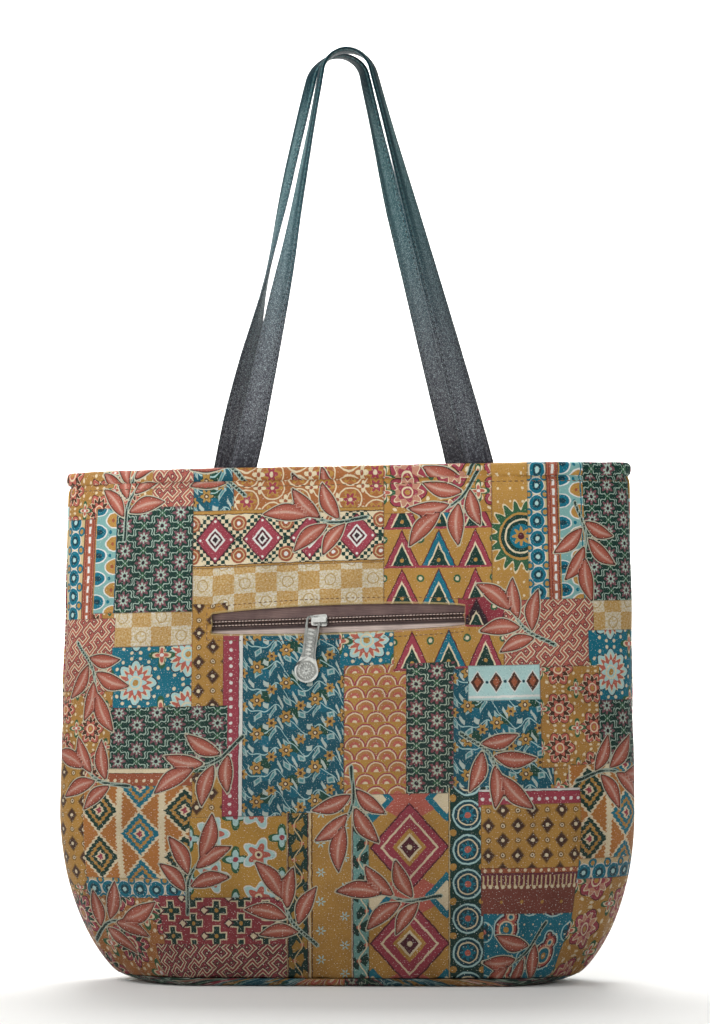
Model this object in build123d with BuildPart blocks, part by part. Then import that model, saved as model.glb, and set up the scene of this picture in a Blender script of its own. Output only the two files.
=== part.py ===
from build123d import *
import os
from math import asin, atan2, cos, degrees, hypot, pi, radians, sin

# Tote bag with a zipped pocket in its front and two strap handles held up in an arch.
# Millimetres, +Z up, the front towards -Y, the origin in the middle of the base's underside.

# Body of the bag
body_width = 382.0
body_depth = 90.0
body_height = 340.0
shoulder_height = 112.0
mouth_taper = 8.0
mouth_depth = 62.0
shoulder_side_radius = 24.0
mouth_side_radius = 11.0
base_seam_height = 6.0
flat_share = 0.56

# Cloth
shell_cloth = 1.6
lining_cloth = 0.8
facing_cloth = 1.2
facing_height = 36.0
lining_floor_gap = 0.3
lining_slack_base = 4.0
lining_slack_shoulder = 11.0
binding_height = 5.0
binding_proud = 0.8
binding_lip = 0.6
binding_round = 1.8
overrun = 20.0

# Handles
handle_rise = 280.0
handle_span = 160.0
front_handle_shift = 9.0
back_handle_shift = -4.0
front_crown_shift = -1.0
back_crown_shift = -9.5
strap_width = 18.0
strap_thickness = 2.6
strap_edge = 0.8
strap_tail = 34.0
strap_straight = 8.0
strap_gap = 0.3
crown_radius = 18.5

# Zip pocket
zip_height = 239.0
zip_offset = -5.0
zip_tilt = 2.0
slot_length = 163.0
slot_height = 17.0
slot_corner = 3.0
welt_width = 9.0
welt_cloth = 1.5
tape_width = 12.0
tape_overlap = 8.0
tape_cloth = 0.6
tape_parting = 1.8
row_parting = 1.0
row_width = 1.7
row_spine = 0.8
row_thickness = 1.3
tooth_pitch = 2.2
tooth_width = 1.2
chain_overlap = 3.0
stop_length = 3.0
stop_width = 5.2
stop_thickness = 1.2
stop_back = 0.6
stop_web = 1.2
pouch_margin = 10.5
pouch_drop = 120.0
pouch_head = 13.0
pouch_depth = 3.6
pouch_cloth = 0.8
pouch_hem = 4.0
pouch_mouth_above = 8.0
pouch_mouth_below = 7.5

# Slider and pull
slider_place = -13.0
slider_length = 10.5
slider_nose_width = 8.2
slider_tail_width = 6.6
slider_plate = 1.0
slider_back = 0.8
slider_clear = 0.2
slider_flange = 0.5
slider_corner = 1.6
post_width = 0.7
post_length = 3.0
bail_reach = 7.4
bail_radius = 1.1
bail_clear = 0.3
bail_bar = 1.2
bail_width = 3.2
pull_standoff = 1.2
pull_thickness = 1.8
pull_lean = 9.5
pull_length = 44.0
eye_width = 9.4
eye_wall = 1.5
eye_length = 7.0
eye_clear = 0.3
neck_width = 8.0
disc_diameter = 15.6
disc_rim = 1.6
disc_sink = 0.4
rib_width = 1.2
rib_rise = 0.3
rib_count = 5
rib_pitch = 2.6

# The bag below its shoulder: sizes at the floor as shares of the shoulder's, and how fast each one fills out
floor_width_share = 0.752
floor_depth_share = 0.640
floor_flat_share = 0.86
floor_radius_share = 0.90
floor_rise_share = 0.15
width_fill_share = 1.2
depth_fill_share = 0.6
shell_steps = 8
lining_steps = 4
sweep_steps = 4
seam_steps = 3

# Turning of the strap up each leg, left and right as seen from outside its wall:
# share of the leg's length, share of a quarter turn
front_left_turn_shares = ((0.00, 0.00), (0.12, 0.16), (0.27, 0.30), (0.46, 0.50), (0.62, 0.68), (0.90, 0.90))
front_right_turn_shares = ((0.00, 0.00), (0.12, 0.16), (0.27, 0.30), (0.46, 0.44), (0.70, 0.56), (0.90, 0.76))
back_left_turn_shares = ((0.00, 0.00), (0.12, 0.16), (0.27, 0.30), (0.46, 0.46), (0.70, 0.60), (0.90, 0.80))
back_right_turn_shares = ((0.00, 0.00), (0.12, 0.20), (0.27, 0.46), (0.43, 0.80), (0.70, 1.20), (0.90, 1.12))
crown_shares = (0.20, 0.40, 0.60, 0.80, 1.00)

mouth_width = body_width - mouth_taper
flat_width = body_width * flat_share
pouch_length = slot_length + 2 * pouch_margin
wall_top = body_height - binding_height
lean_run = wall_top - shoulder_height
lean_slope = (body_depth - mouth_depth) / (2 * lean_run)
lean = degrees(atan2(lean_slope, 1))
strap_room = strap_thickness + 2 * strap_gap


def along_wall(height, low, high):
    """A size at a height above the shoulder, where it runs straight from low to high."""
    return low + (high - low) * (height - shoulder_height) / lean_run


def level(height):
    """Half width, half depth, half flat middle and side radius above the shoulder."""
    half_width = along_wall(height, body_width, mouth_width) / 2
    half_depth = along_wall(height, body_depth, mouth_depth) / 2
    radius = along_wall(height, shoulder_side_radius, mouth_side_radius)
    return half_width, half_depth, flat_width / 2, radius


def fill(floor_share, share):
    """A share that grows from its value at the floor to one at the shoulder."""
    return floor_share + (1 - floor_share) * share


def outline(half_width, half_depth, half_flat, radius, inset):
    """Closed outline of the bag at one height: flat front and back, swept sides, rounded seams."""
    seam_x = half_width - radius
    run = seam_x - half_flat
    sweep_radius = (run**2 + half_depth**2 - radius**2) / (2 * (half_depth - radius))
    rise = sweep_radius - half_depth
    turn = atan2(run, rise)
    quarter = []
    for step in range(sweep_steps + 1):
        angle = turn * step / sweep_steps
        reach = sweep_radius - inset
        quarter.append((half_flat + reach * sin(angle), reach * cos(angle) - rise))
    for step in range(1, seam_steps + 1):
        angle = turn + (pi / 2 - turn) * step / seam_steps
        reach = radius - inset
        quarter.append((seam_x + reach * sin(angle), reach * cos(angle)))
    front_right = [(x, -y) for x, y in quarter]
    back_right = quarter[-2::-1]
    back_left = [(-x, y) for x, y in quarter]
    front_left = [(-x, -y) for x, y in quarter[-2::-1]]
    with BuildLine() as edge:
        Polyline(front_right + back_right + back_left + front_left, close=True)
    return edge.edges()


def bag_form(steps, floor, inset_base, inset_shoulder, inset_mouth, top):
    """Solid form of the bag, drawn in from the outside of the cloth by the insets, from floor to top."""
    with BuildPart() as form:
        for step in range(steps + 1):
            angle = pi / 2 * step / steps
            height_share = floor_rise_share * step / steps + (1 - floor_rise_share) * (1 - cos(angle))
            width_share = fill(floor_width_share, sin(angle) ** width_fill_share)
            depth_share = fill(floor_depth_share, sin(angle) ** depth_fill_share)
            middle_share = fill(floor_flat_share, sin(angle))
            radius_share = fill(floor_radius_share, sin(angle))
            inset = inset_base + (inset_shoulder - inset_base) * height_share
            with BuildSketch(Plane.XY.offset(floor + (shoulder_height - floor) * height_share)):
                make_face(
                    outline(
                        body_width * width_share / 2,
                        body_depth * depth_share / 2,
                        flat_width * middle_share / 2,
                        shoulder_side_radius * radius_share,
                        inset,
                    )
                )
        with BuildSketch(Plane.XY.offset(top)):
            make_face(outline(*level(top), along_wall(top, inset_shoulder, inset_mouth)))
        loft(ruled=True)
    return form.part


lining_mouth = shell_cloth + strap_room
lining_shoulder = shell_cloth + lining_slack_shoulder
lining_base = shell_cloth + lining_slack_base
lining_floor = shell_cloth + lining_floor_gap
facing_foot = wall_top - facing_height

outer_form = bag_form(shell_steps, 0, 0, 0, 0, wall_top)
shell_hollow = bag_form(shell_steps, shell_cloth, shell_cloth, shell_cloth, shell_cloth, wall_top + overrun)
lining_form = bag_form(lining_steps, lining_floor, lining_base, lining_shoulder, lining_mouth, wall_top)
lining_hollow = bag_form(
    lining_steps,
    lining_floor + lining_cloth,
    lining_base + lining_cloth,
    lining_shoulder + lining_cloth,
    lining_mouth + lining_cloth,
    wall_top + overrun,
)
facing_hollow = bag_form(
    lining_steps,
    lining_floor + facing_cloth,
    lining_base + facing_cloth,
    lining_shoulder + facing_cloth,
    lining_mouth + facing_cloth,
    wall_top + overrun,
)

# Planes of the flat front and back walls, outward, and of the zip in the front wall
front_plane = Plane(
    origin=(0, -along_wall(zip_height, body_depth, mouth_depth) / 2, zip_height),
    x_dir=(1, 0, 0),
    z_dir=(0, -cos(radians(lean)), sin(radians(lean))),
)
back_plane = Plane(
    origin=(0, along_wall(zip_height, body_depth, mouth_depth) / 2, zip_height),
    x_dir=(-1, 0, 0),
    z_dir=(0, cos(radians(lean)), sin(radians(lean))),
)
zip_plane = Plane(front_plane.location * Location((zip_offset, 0, 0), (0, 0, zip_tilt)))

# Front panel: its half of the shell, the zip slot and the edges turned in above and below it
with BuildPart() as front_panel:
    add(outer_form)
    add(shell_hollow, mode=Mode.SUBTRACT)
    split(bisect_by=Plane.XY.offset(base_seam_height), keep=Keep.TOP)
    split(bisect_by=Plane.XZ, keep=Keep.TOP)
    with BuildSketch(zip_plane.offset(-shell_cloth / 2)):
        with Locations((0, (slot_height + welt_width) / 2), (0, -(slot_height + welt_width) / 2)):
            Rectangle(slot_length, welt_width)
    extrude(amount=-(shell_cloth / 2 + welt_cloth))
    with BuildSketch(zip_plane.offset(shell_cloth)):
        RectangleRounded(slot_length, slot_height, slot_corner)
    extrude(amount=-(2 * shell_cloth + 2 * welt_cloth), mode=Mode.SUBTRACT)
front_panel.part.label = "front_panel"

# Back panel
with BuildPart() as back_panel:
    add(outer_form)
    add(shell_hollow, mode=Mode.SUBTRACT)
    split(bisect_by=Plane.XY.offset(base_seam_height), keep=Keep.TOP)
    split(bisect_by=Plane.XZ, keep=Keep.BOTTOM)
back_panel.part.label = "back_panel"

# Base, a shallow dish below the bottom seam
with BuildPart() as base_panel:
    add(outer_form)
    add(shell_hollow, mode=Mode.SUBTRACT)
    split(bisect_by=Plane.XY.offset(base_seam_height), keep=Keep.BOTTOM)
base_panel.part.label = "base_panel"

# Facings, the bands inside the mouth
with BuildPart() as front_facing:
    add(lining_form)
    add(facing_hollow, mode=Mode.SUBTRACT)
    split(bisect_by=Plane.XY.offset(facing_foot), keep=Keep.TOP)
    split(bisect_by=Plane.XZ, keep=Keep.TOP)
front_facing.part.label = "front_facing"

with BuildPart() as back_facing:
    add(lining_form)
    add(facing_hollow, mode=Mode.SUBTRACT)
    split(bisect_by=Plane.XY.offset(facing_foot), keep=Keep.TOP)
    split(bisect_by=Plane.XZ, keep=Keep.BOTTOM)
back_facing.part.label = "back_facing"

# Lining, hung from the facings
with BuildPart() as front_lining:
    add(lining_form)
    add(lining_hollow, mode=Mode.SUBTRACT)
    split(bisect_by=Plane.XY.offset(facing_foot), keep=Keep.BOTTOM)
    split(bisect_by=Plane.XZ, keep=Keep.TOP)
front_lining.part.label = "front_lining"

with BuildPart() as back_lining:
    add(lining_form)
    add(lining_hollow, mode=Mode.SUBTRACT)
    split(bisect_by=Plane.XY.offset(facing_foot), keep=Keep.BOTTOM)
    split(bisect_by=Plane.XZ, keep=Keep.BOTTOM)
back_lining.part.label = "back_lining"

# Handles: each lies in a plane just inside its wall, two straight legs and a round crown
rim_rise = (wall_top - zip_height) / cos(radians(lean))
strap_depth = shell_cloth + strap_gap + strap_thickness / 2
crown_centre = rim_rise + (handle_rise + binding_height) / cos(radians(lean)) - crown_radius
leg_height = crown_centre - rim_rise


def leg_of(shift, crown_x, side):
    """Lean from upright and length of the leg on one side, tangent to the crown."""
    reach = handle_span / 2 + side * (shift - crown_x)
    slant = hypot(reach, leg_height)
    return asin(reach / slant) - asin(crown_radius / slant), slant * cos(asin(crown_radius / slant))


def strap_section_plane(wall, point, way, out, side, turn):
    """Plane with its normal along the strap from left to right and its x across the strap."""
    angle = turn * pi / 2
    face = Vector(0, 0, 1) * cos(angle) + out * sin(angle)
    onward = way * -side
    across = face.cross(onward)
    origin = wall.from_local_coords(point)
    x_dir = wall.from_local_coords(across) - wall.origin
    z_dir = wall.from_local_coords(onward) - wall.origin
    return Plane(origin=origin, x_dir=x_dir, z_dir=z_dir)


def leg_place(wall, shift, crown_x, side, distance, turn):
    """Plane across a strap leg, at a distance up the leg from the rim, turned by shares of a quarter turn."""
    leg_lean, leg_length = leg_of(shift, crown_x, side)
    foot = Vector(shift + side * handle_span / 2, rim_rise, -strap_depth)
    way = Vector(-side * sin(leg_lean), cos(leg_lean), 0)
    out = Vector(side * cos(leg_lean), sin(leg_lean), 0)
    return strap_section_plane(wall, foot + way * distance, way, out, side, turn)


def crown_place(wall, shift, crown_x, side, share, turn):
    """Plane across the strap on its way round the crown, from the leg to the top."""
    leg_lean, leg_length = leg_of(shift, crown_x, side)
    angle = leg_lean + (pi / 2 - leg_lean) * share
    way = Vector(-side * sin(angle), cos(angle), 0)
    out = Vector(side * cos(angle), sin(angle), 0)
    middle = Vector(crown_x, crown_centre, -strap_depth)
    return strap_section_plane(wall, middle + out * crown_radius, way, out, side, turn)


def half_strap(wall, shift, crown_x, side, turn_shares):
    """Planes across a strap from just above the rim to the top of the crown."""
    leg_lean, leg_length = leg_of(shift, crown_x, side)
    last_turn = turn_shares[-1][1]
    places = []
    for share, turn in turn_shares:
        distance = strap_straight + (leg_length - strap_straight) * share
        places.append(leg_place(wall, shift, crown_x, side, distance, turn))
    for share in crown_shares:
        places.append(crown_place(wall, shift, crown_x, side, share, last_turn + (1 - last_turn) * share))
    return places


def strap_tails(wall, shift, crown_x, clearance):
    """Straight ends of a strap, from inside the wall to just above the rim."""
    with BuildPart() as tails:
        for side in (-1, 1):
            with BuildSketch(leg_place(wall, shift, crown_x, side, -strap_tail, 0)):
                tail = Rectangle(strap_width + 2 * clearance, strap_thickness + 2 * clearance)
                chamfer(tail.vertices(), length=strap_edge)
            extrude(amount=(strap_tail + strap_straight) * -side)
    return tails.part


def strap_arch(wall, shift, crown_x, left_turn_shares, right_turn_shares):
    """The strap between its two straight ends."""
    left = half_strap(wall, shift, crown_x, -1, left_turn_shares)
    right = half_strap(wall, shift, crown_x, 1, right_turn_shares)
    with BuildPart() as arch:
        for place in left + right[-2::-1]:
            with BuildSketch(place):
                section = Rectangle(strap_width, strap_thickness)
                chamfer(section.vertices(), length=strap_edge)
        loft(ruled=True)
    return arch.part


with BuildPart() as front_handle:
    add(strap_tails(front_plane, front_handle_shift, front_crown_shift, 0))
    add(
        strap_arch(
            front_plane,
            front_handle_shift,
            front_crown_shift,
            front_left_turn_shares,
            front_right_turn_shares,
        )
    )
front_handle.part.label = "front_handle"

with BuildPart() as back_handle:
    add(strap_tails(back_plane, -back_handle_shift, -back_crown_shift, 0))
    add(
        strap_arch(
            back_plane,
            -back_handle_shift,
            -back_crown_shift,
            back_left_turn_shares,
            back_right_turn_shares,
        )
    )
back_handle.part.label = "back_handle"

# Rolled edge round the mouth, notched on its inside where the straps rise through it
binding_inset = lining_mouth + facing_cloth + binding_lip
with BuildPart() as mouth_binding:
    with BuildSketch(Plane.XY.offset(wall_top)):
        make_face(outline(*level(wall_top), -binding_proud))
    extrude(amount=binding_height)
    with BuildSketch(Plane.XY.offset(wall_top)):
        make_face(outline(*level(wall_top), binding_inset))
    extrude(amount=binding_height, mode=Mode.SUBTRACT)
    chamfer(mouth_binding.edges().group_by(Axis.Z)[-1], length=binding_round)
    add(strap_tails(front_plane, front_handle_shift, front_crown_shift, strap_gap), mode=Mode.SUBTRACT)
    add(strap_tails(back_plane, -back_handle_shift, -back_crown_shift, strap_gap), mode=Mode.SUBTRACT)
mouth_binding.part.label = "mouth_binding"

# Zip tapes behind the turned edges of the slot
tape_length = slot_length + 2 * tape_overlap
tape_face = shell_cloth + welt_cloth
with BuildPart() as zip_tape_upper:
    with BuildSketch(zip_plane.offset(-tape_face)):
        with Locations((0, (tape_parting + tape_width) / 2)):
            Rectangle(tape_length, tape_width)
    extrude(amount=-tape_cloth)
zip_tape_upper.part.label = "zip_tape_upper"

with BuildPart() as zip_tape_lower:
    with BuildSketch(zip_plane.offset(-tape_face)):
        with Locations((0, -(tape_parting + tape_width) / 2)):
            Rectangle(tape_length, tape_width)
    extrude(amount=-tape_cloth)
zip_tape_lower.part.label = "zip_tape_lower"

# Zip chain: a row of teeth on each tape, the rows half a pitch apart
chain_length = slot_length + 2 * chain_overlap
tooth_count = int(chain_length / tooth_pitch) - 1
spine_middle = row_parting / 2 + row_width - row_spine / 2
tooth_reach = row_width - row_spine / 2
tooth_middle = row_parting / 2 + tooth_reach / 2
with BuildPart() as zip_teeth_upper:
    with BuildSketch(zip_plane.offset(-tape_face)):
        with Locations((0, spine_middle)):
            Rectangle(chain_length, row_spine)
        with Locations((tooth_pitch / 4, tooth_middle)):
            with GridLocations(tooth_pitch, 0, tooth_count, 1):
                Rectangle(tooth_width, tooth_reach)
    extrude(amount=row_thickness)
zip_teeth_upper.part.label = "zip_teeth_upper"

with BuildPart() as zip_teeth_lower:
    with BuildSketch(zip_plane.offset(-tape_face)):
        with Locations((0, -spine_middle)):
            Rectangle(chain_length, row_spine)
        with Locations((-tooth_pitch / 4, -tooth_middle)):
            with GridLocations(tooth_pitch, 0, tooth_count, 1):
                Rectangle(tooth_width, tooth_reach)
    extrude(amount=row_thickness)
zip_teeth_lower.part.label = "zip_teeth_lower"

# Stops at the ends of the chain: one across both tapes on the left, one on each tape on the right
stop_place = (chain_length + stop_length) / 2
with BuildPart() as zip_bottom_stop:
    with BuildSketch(zip_plane.offset(-tape_face)):
        with Locations((-stop_place, 0)):
            Rectangle(stop_length, stop_width)
    extrude(amount=stop_thickness)
    with BuildSketch(zip_plane.offset(-tape_face)):
        with Locations((-stop_place, 0)):
            Rectangle(stop_length, stop_web)
    extrude(amount=-tape_cloth)
    with BuildSketch(zip_plane.offset(-tape_face - tape_cloth)):
        with Locations((-stop_place, 0)):
            Rectangle(stop_length, stop_width)
    extrude(amount=-stop_back)
zip_bottom_stop.part.label = "zip_bottom_stop"

top_stop_width = stop_width / 2 - tape_parting / 2
top_stop_middle = tape_parting / 2 + top_stop_width / 2
with BuildPart() as zip_top_stops:
    with BuildSketch(zip_plane.offset(-tape_face)):
        with Locations((stop_place, top_stop_middle), (stop_place, -top_stop_middle)):
            Rectangle(stop_length, top_stop_width)
    extrude(amount=stop_thickness)
zip_top_stops.part.label = "zip_top_stops"

# Pocket bag: front layer behind the lower tape, back layer hung from the upper tape
pouch_face = tape_face + tape_cloth
with BuildPart() as pocket_pouch:
    with BuildSketch(zip_plane.offset(-pouch_face)):
        with Locations((0, (pouch_head - pouch_drop) / 2)):
            Rectangle(pouch_length, pouch_head + pouch_drop)
    extrude(amount=-pouch_depth)
    with BuildSketch(zip_plane.offset(-pouch_face - pouch_cloth)):
        with Locations((0, (pouch_head - pouch_drop) / 2)):
            Rectangle(pouch_length - 2 * pouch_hem, pouch_head + pouch_drop - 2 * pouch_hem)
    extrude(amount=-(pouch_depth - 2 * pouch_cloth), mode=Mode.SUBTRACT)
    with BuildSketch(zip_plane.offset(-pouch_face)):
        with Locations((0, (pouch_mouth_above - pouch_mouth_below) / 2)):
            Rectangle(pouch_length - 2 * pouch_hem, pouch_mouth_above + pouch_mouth_below)
    extrude(amount=-2 * pouch_cloth, mode=Mode.SUBTRACT)
pocket_pouch.part.label = "pocket_pouch"

# Slider: front plate with side flanges, back plate, the post between the rows, and the bail
plate_foot = tape_face - row_thickness - slider_clear
plate_top = plate_foot - slider_plate
back_face = tape_face + tape_cloth + slider_clear
bail_foot = -plate_top
bail_under = pull_standoff + pull_thickness + bail_clear
bail_left = slider_place - bail_reach / 2
bail_right = slider_place + bail_reach / 2
slider_outline = (
    (slider_place - slider_length / 2, slider_tail_width / 2),
    (slider_place + slider_length / 2, slider_nose_width / 2),
    (slider_place + slider_length / 2, -slider_nose_width / 2),
    (slider_place - slider_length / 2, -slider_tail_width / 2),
)
with BuildPart() as zip_slider:
    with BuildSketch(zip_plane.offset(-plate_foot)):
        with BuildLine():
            Polyline(*slider_outline, close=True)
        front_plate = make_face()
        fillet(front_plate.vertices(), radius=slider_corner)
    extrude(amount=slider_plate)
    with BuildSketch(zip_plane.offset(-back_face)):
        with BuildLine():
            Polyline(*slider_outline, close=True)
        back_plate = make_face()
        fillet(back_plate.vertices(), radius=slider_corner)
    extrude(amount=-slider_back)
    with BuildSketch(zip_plane.offset(-plate_foot)):
        with BuildLine():
            Polyline(*slider_outline, close=True)
        skirt = make_face()
        fillet(skirt.vertices(), radius=slider_corner)
        with Locations((slider_place, 0)):
            Rectangle(2 * slider_length, slider_tail_width - 2 * slider_flange, mode=Mode.SUBTRACT)
    extrude(amount=-row_thickness)
    with BuildSketch(zip_plane.offset(-plate_foot)):
        with Locations((slider_place + slider_length / 2 - post_length, 0)):
            Rectangle(post_length, post_width)
    extrude(amount=-(back_face - plate_foot))
    with BuildSketch(zip_plane.offset(-plate_top)):
        with Locations((bail_left, 0)):
            Circle(bail_radius)
        with Locations((bail_right, 0)):
            Rectangle(2 * bail_radius, bail_width)
    extrude(amount=bail_under + plate_top)
    with BuildSketch(zip_plane.offset(bail_under)):
        with Locations((slider_place, 0)):
            RectangleRounded(bail_reach + 2 * bail_radius, bail_width, bail_radius)
    extrude(amount=bail_bar)
zip_slider.part.label = "zip_slider"

# Pull: hung on the bail's left leg, an eye at the top, a tapering neck and a round end
pull_plane = Plane(zip_plane.location * Location((bail_left, 0, 0), (0, 0, -pull_lean)))
pin_above = bail_radius + eye_clear
disc_middle = -(pull_length - pin_above - eye_wall - disc_diameter / 2)
eye_foot = pin_above - eye_length
with BuildPart() as zip_pull:
    with BuildSketch(pull_plane.offset(pull_standoff)):
        with Locations((0, pin_above + eye_wall)):
            RectangleRounded(
                eye_width,
                eye_length + 2 * eye_wall,
                eye_width / 2 - eye_wall,
                align=(Align.CENTER, Align.MAX),
            )
        with BuildLine():
            Polyline(
                (-eye_width / 2, eye_foot),
                (eye_width / 2, eye_foot),
                (neck_width / 2, disc_middle),
                (-neck_width / 2, disc_middle),
                close=True,
            )
        make_face()
        with Locations((0, disc_middle)):
            Circle(disc_diameter / 2)
        with Locations((0, pin_above)):
            RectangleRounded(
                eye_width - 2 * eye_wall,
                eye_length,
                bail_radius + eye_clear,
                align=(Align.CENTER, Align.MAX),
                mode=Mode.SUBTRACT,
            )
    extrude(amount=pull_thickness)
    with BuildSketch(pull_plane.offset(pull_standoff + pull_thickness)):
        with Locations((0, disc_middle)):
            Circle(disc_diameter / 2 - disc_rim)
    extrude(amount=-disc_sink, mode=Mode.SUBTRACT)
    with BuildSketch(pull_plane.offset(pull_standoff + pull_thickness)):
        with Locations((0, (eye_foot + disc_middle + disc_diameter / 2) / 2)):
            with GridLocations(0, rib_pitch, 1, rib_count):
                Rectangle(neck_width - 2 * rib_width, rib_width)
    extrude(amount=rib_rise)
zip_pull.part.label = "zip_pull"

os.makedirs("parts", exist_ok=True)
export_step(front_panel.part, "parts/front_panel.step")
export_step(back_panel.part, "parts/back_panel.step")
export_step(base_panel.part, "parts/base_panel.step")
export_step(front_facing.part, "parts/front_facing.step")
export_step(back_facing.part, "parts/back_facing.step")
export_step(front_lining.part, "parts/front_lining.step")
export_step(back_lining.part, "parts/back_lining.step")
export_step(front_handle.part, "parts/front_handle.step")
export_step(back_handle.part, "parts/back_handle.step")
export_step(mouth_binding.part, "parts/mouth_binding.step")
export_step(zip_tape_upper.part, "parts/zip_tape_upper.step")
export_step(zip_tape_lower.part, "parts/zip_tape_lower.step")
export_step(zip_teeth_upper.part, "parts/zip_teeth_upper.step")
export_step(zip_teeth_lower.part, "parts/zip_teeth_lower.step")
export_step(zip_bottom_stop.part, "parts/zip_bottom_stop.step")
export_step(zip_top_stops.part, "parts/zip_top_stops.step")
export_step(pocket_pouch.part, "parts/pocket_pouch.step")
export_step(zip_slider.part, "parts/zip_slider.step")
export_step(zip_pull.part, "parts/zip_pull.step")
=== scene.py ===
# %% [markdown]
# # A patchwork tote bag
# The CAD model gives every solid of the bag its size and place. This lesson dresses those solids for the
# camera: sewn cloth with a printed patchwork, stitched straps, and a zip with a metal slider and pull. A
# bag maker measures in millimetres, so lengths below are in millimetres until a vertex is placed.

# %% Load the frame
import math
import bmesh
import bpy
import numpy as np
from mathutils import Matrix, Vector, noise


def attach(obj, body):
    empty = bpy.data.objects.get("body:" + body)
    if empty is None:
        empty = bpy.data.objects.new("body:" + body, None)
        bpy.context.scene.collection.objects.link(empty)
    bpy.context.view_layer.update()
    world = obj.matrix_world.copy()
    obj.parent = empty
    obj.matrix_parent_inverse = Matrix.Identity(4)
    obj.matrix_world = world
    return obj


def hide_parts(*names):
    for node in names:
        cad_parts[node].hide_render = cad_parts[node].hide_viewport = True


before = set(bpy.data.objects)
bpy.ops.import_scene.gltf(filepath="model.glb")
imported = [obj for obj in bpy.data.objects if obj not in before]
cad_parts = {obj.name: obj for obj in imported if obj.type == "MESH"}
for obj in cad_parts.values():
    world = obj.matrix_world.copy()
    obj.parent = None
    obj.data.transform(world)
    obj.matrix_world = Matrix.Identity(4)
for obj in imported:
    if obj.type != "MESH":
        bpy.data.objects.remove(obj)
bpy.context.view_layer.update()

MM = 0.001
print("solids loaded:", len(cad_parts))

# %% [markdown]
# ## Camera, floor and light
# The photograph looks straight at the front from a little below the middle of the picture, with a longish
# lens. Working back from the bag's width, one picture is about 683 mm tall where the bag stands, so the
# lens follows from the distance. The paper sweep behind the bag is one grid bent up at the back, as in a
# small photo studio.

# %% Camera
picture_height = 0.683
camera_distance = 1.90
camera_turn = math.radians(1.5)
camera_aim = Vector((0.0045, 0.0, 0.311))
camera_drop = 0.085
camera_data = bpy.data.cameras.new("studio_camera")
camera_data.sensor_fit = "VERTICAL"
camera_data.sensor_height = 36.0
camera_data.lens = 36.0 * camera_distance / picture_height
camera = bpy.data.objects.new("studio_camera", camera_data)
camera.location = camera_aim + Vector(
    (
        math.sin(camera_turn) * camera_distance,
        -math.cos(camera_turn) * camera_distance,
        -camera_drop,
    )
)
camera.rotation_euler = (camera_aim - camera.location).to_track_quat("-Z", "Y").to_euler()
bpy.context.collection.objects.link(camera)
bpy.context.scene.camera = camera
print("lens", round(camera_data.lens, 1), "mm")


# %% Floor sweep and lights
def ink(code):
    """A colour from its six-digit web code, as the linear values a shader wants."""
    shares = [int(code[place:place + 2], 16) / 255 for place in (0, 2, 4)]
    linear = [s / 12.92 if s <= 0.04045 else ((s + 0.055) / 1.055) ** 2.4 for s in shares]
    return (*linear, 1.0)


sweep_half_width = 4.5
sweep_half_length = 4.4
sweep_front = 3.4
bend_start = 2.8
bend_radius = 0.9
sweep = bmesh.new()
bmesh.ops.create_grid(sweep, x_segments=2, y_segments=90, size=1.0)
for vert in sweep.verts:
    along = (vert.co.y + 1) * sweep_half_length - sweep_front
    bend = max(0.0, min((along - bend_start) / bend_radius, math.pi / 2))
    past = max(0.0, along - bend_start - bend_radius * math.pi / 2)
    back = min(along, bend_start) + bend_radius * math.sin(bend)
    vert.co = (vert.co.x * sweep_half_width, back, bend_radius * (1 - math.cos(bend)) + past)
sweep_mesh = bpy.data.meshes.new("paper_sweep")
sweep.to_mesh(sweep_mesh)
sweep.free()
for face in sweep_mesh.polygons:
    face.use_smooth = True
paper_sweep = bpy.data.objects.new("paper_sweep", sweep_mesh)
bpy.context.collection.objects.link(paper_sweep)
paper = bpy.data.materials.new("pale_paper")
paper.use_nodes = True
paper.node_tree.nodes["Principled BSDF"].inputs["Base Color"].default_value = ink("F4F3F0")
paper.node_tree.nodes["Principled BSDF"].inputs["Roughness"].default_value = 0.9
sweep_mesh.materials.append(paper)

world = bpy.data.worlds.new("studio_air")
world.use_nodes = True
world.node_tree.nodes["Background"].inputs["Color"].default_value = (0.95, 0.98, 1.0, 1.0)
world.node_tree.nodes["Background"].inputs["Strength"].default_value = 0.30
bpy.context.scene.world = world
bpy.context.scene.view_settings.view_transform = "Standard"


def softbox(name, place, target, size, watts, spread=180):
    """A square area light at a place, turned to its target."""
    lamp = bpy.data.lights.new(name, "AREA")
    lamp.size = size
    lamp.energy = watts
    lamp.spread = math.radians(spread)
    light = bpy.data.objects.new(name, lamp)
    light.location = place
    light.rotation_euler = (Vector(target) - Vector(place)).to_track_quat("-Z", "Y").to_euler()
    bpy.context.collection.objects.link(light)


softbox("top_softbox", (-0.74, -0.5, 1.08), (-0.02, 0, 0.36), 0.5, 5.8)
softbox("front_fill", (-0.7, -2.3, 1.1), (0, 0, 0.35), 1.2, 2.6, 60)
softbox("floor_wash", (0.0, 1.3, 2.3), (0, 1.7, 0.0), 1.6, 52, 130)
softbox("wall_wash", (0.0, 2.5, 2.6), (0, 3.7, 0.6), 2.0, 110, 140)
print("stage set")

# %% [markdown]
# ## Shader sums as Python
# A printed pattern is a stack of simple shapes: discs, diamonds, petals, stripes. Each shape is a
# distance, and a distance turned into 0 or 1 is a mask. The small class below wraps one socket of a node
# tree, so that the sums behind a shape read like school maths while they add the Math nodes. Colours go
# through Mix nodes instead.


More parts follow.
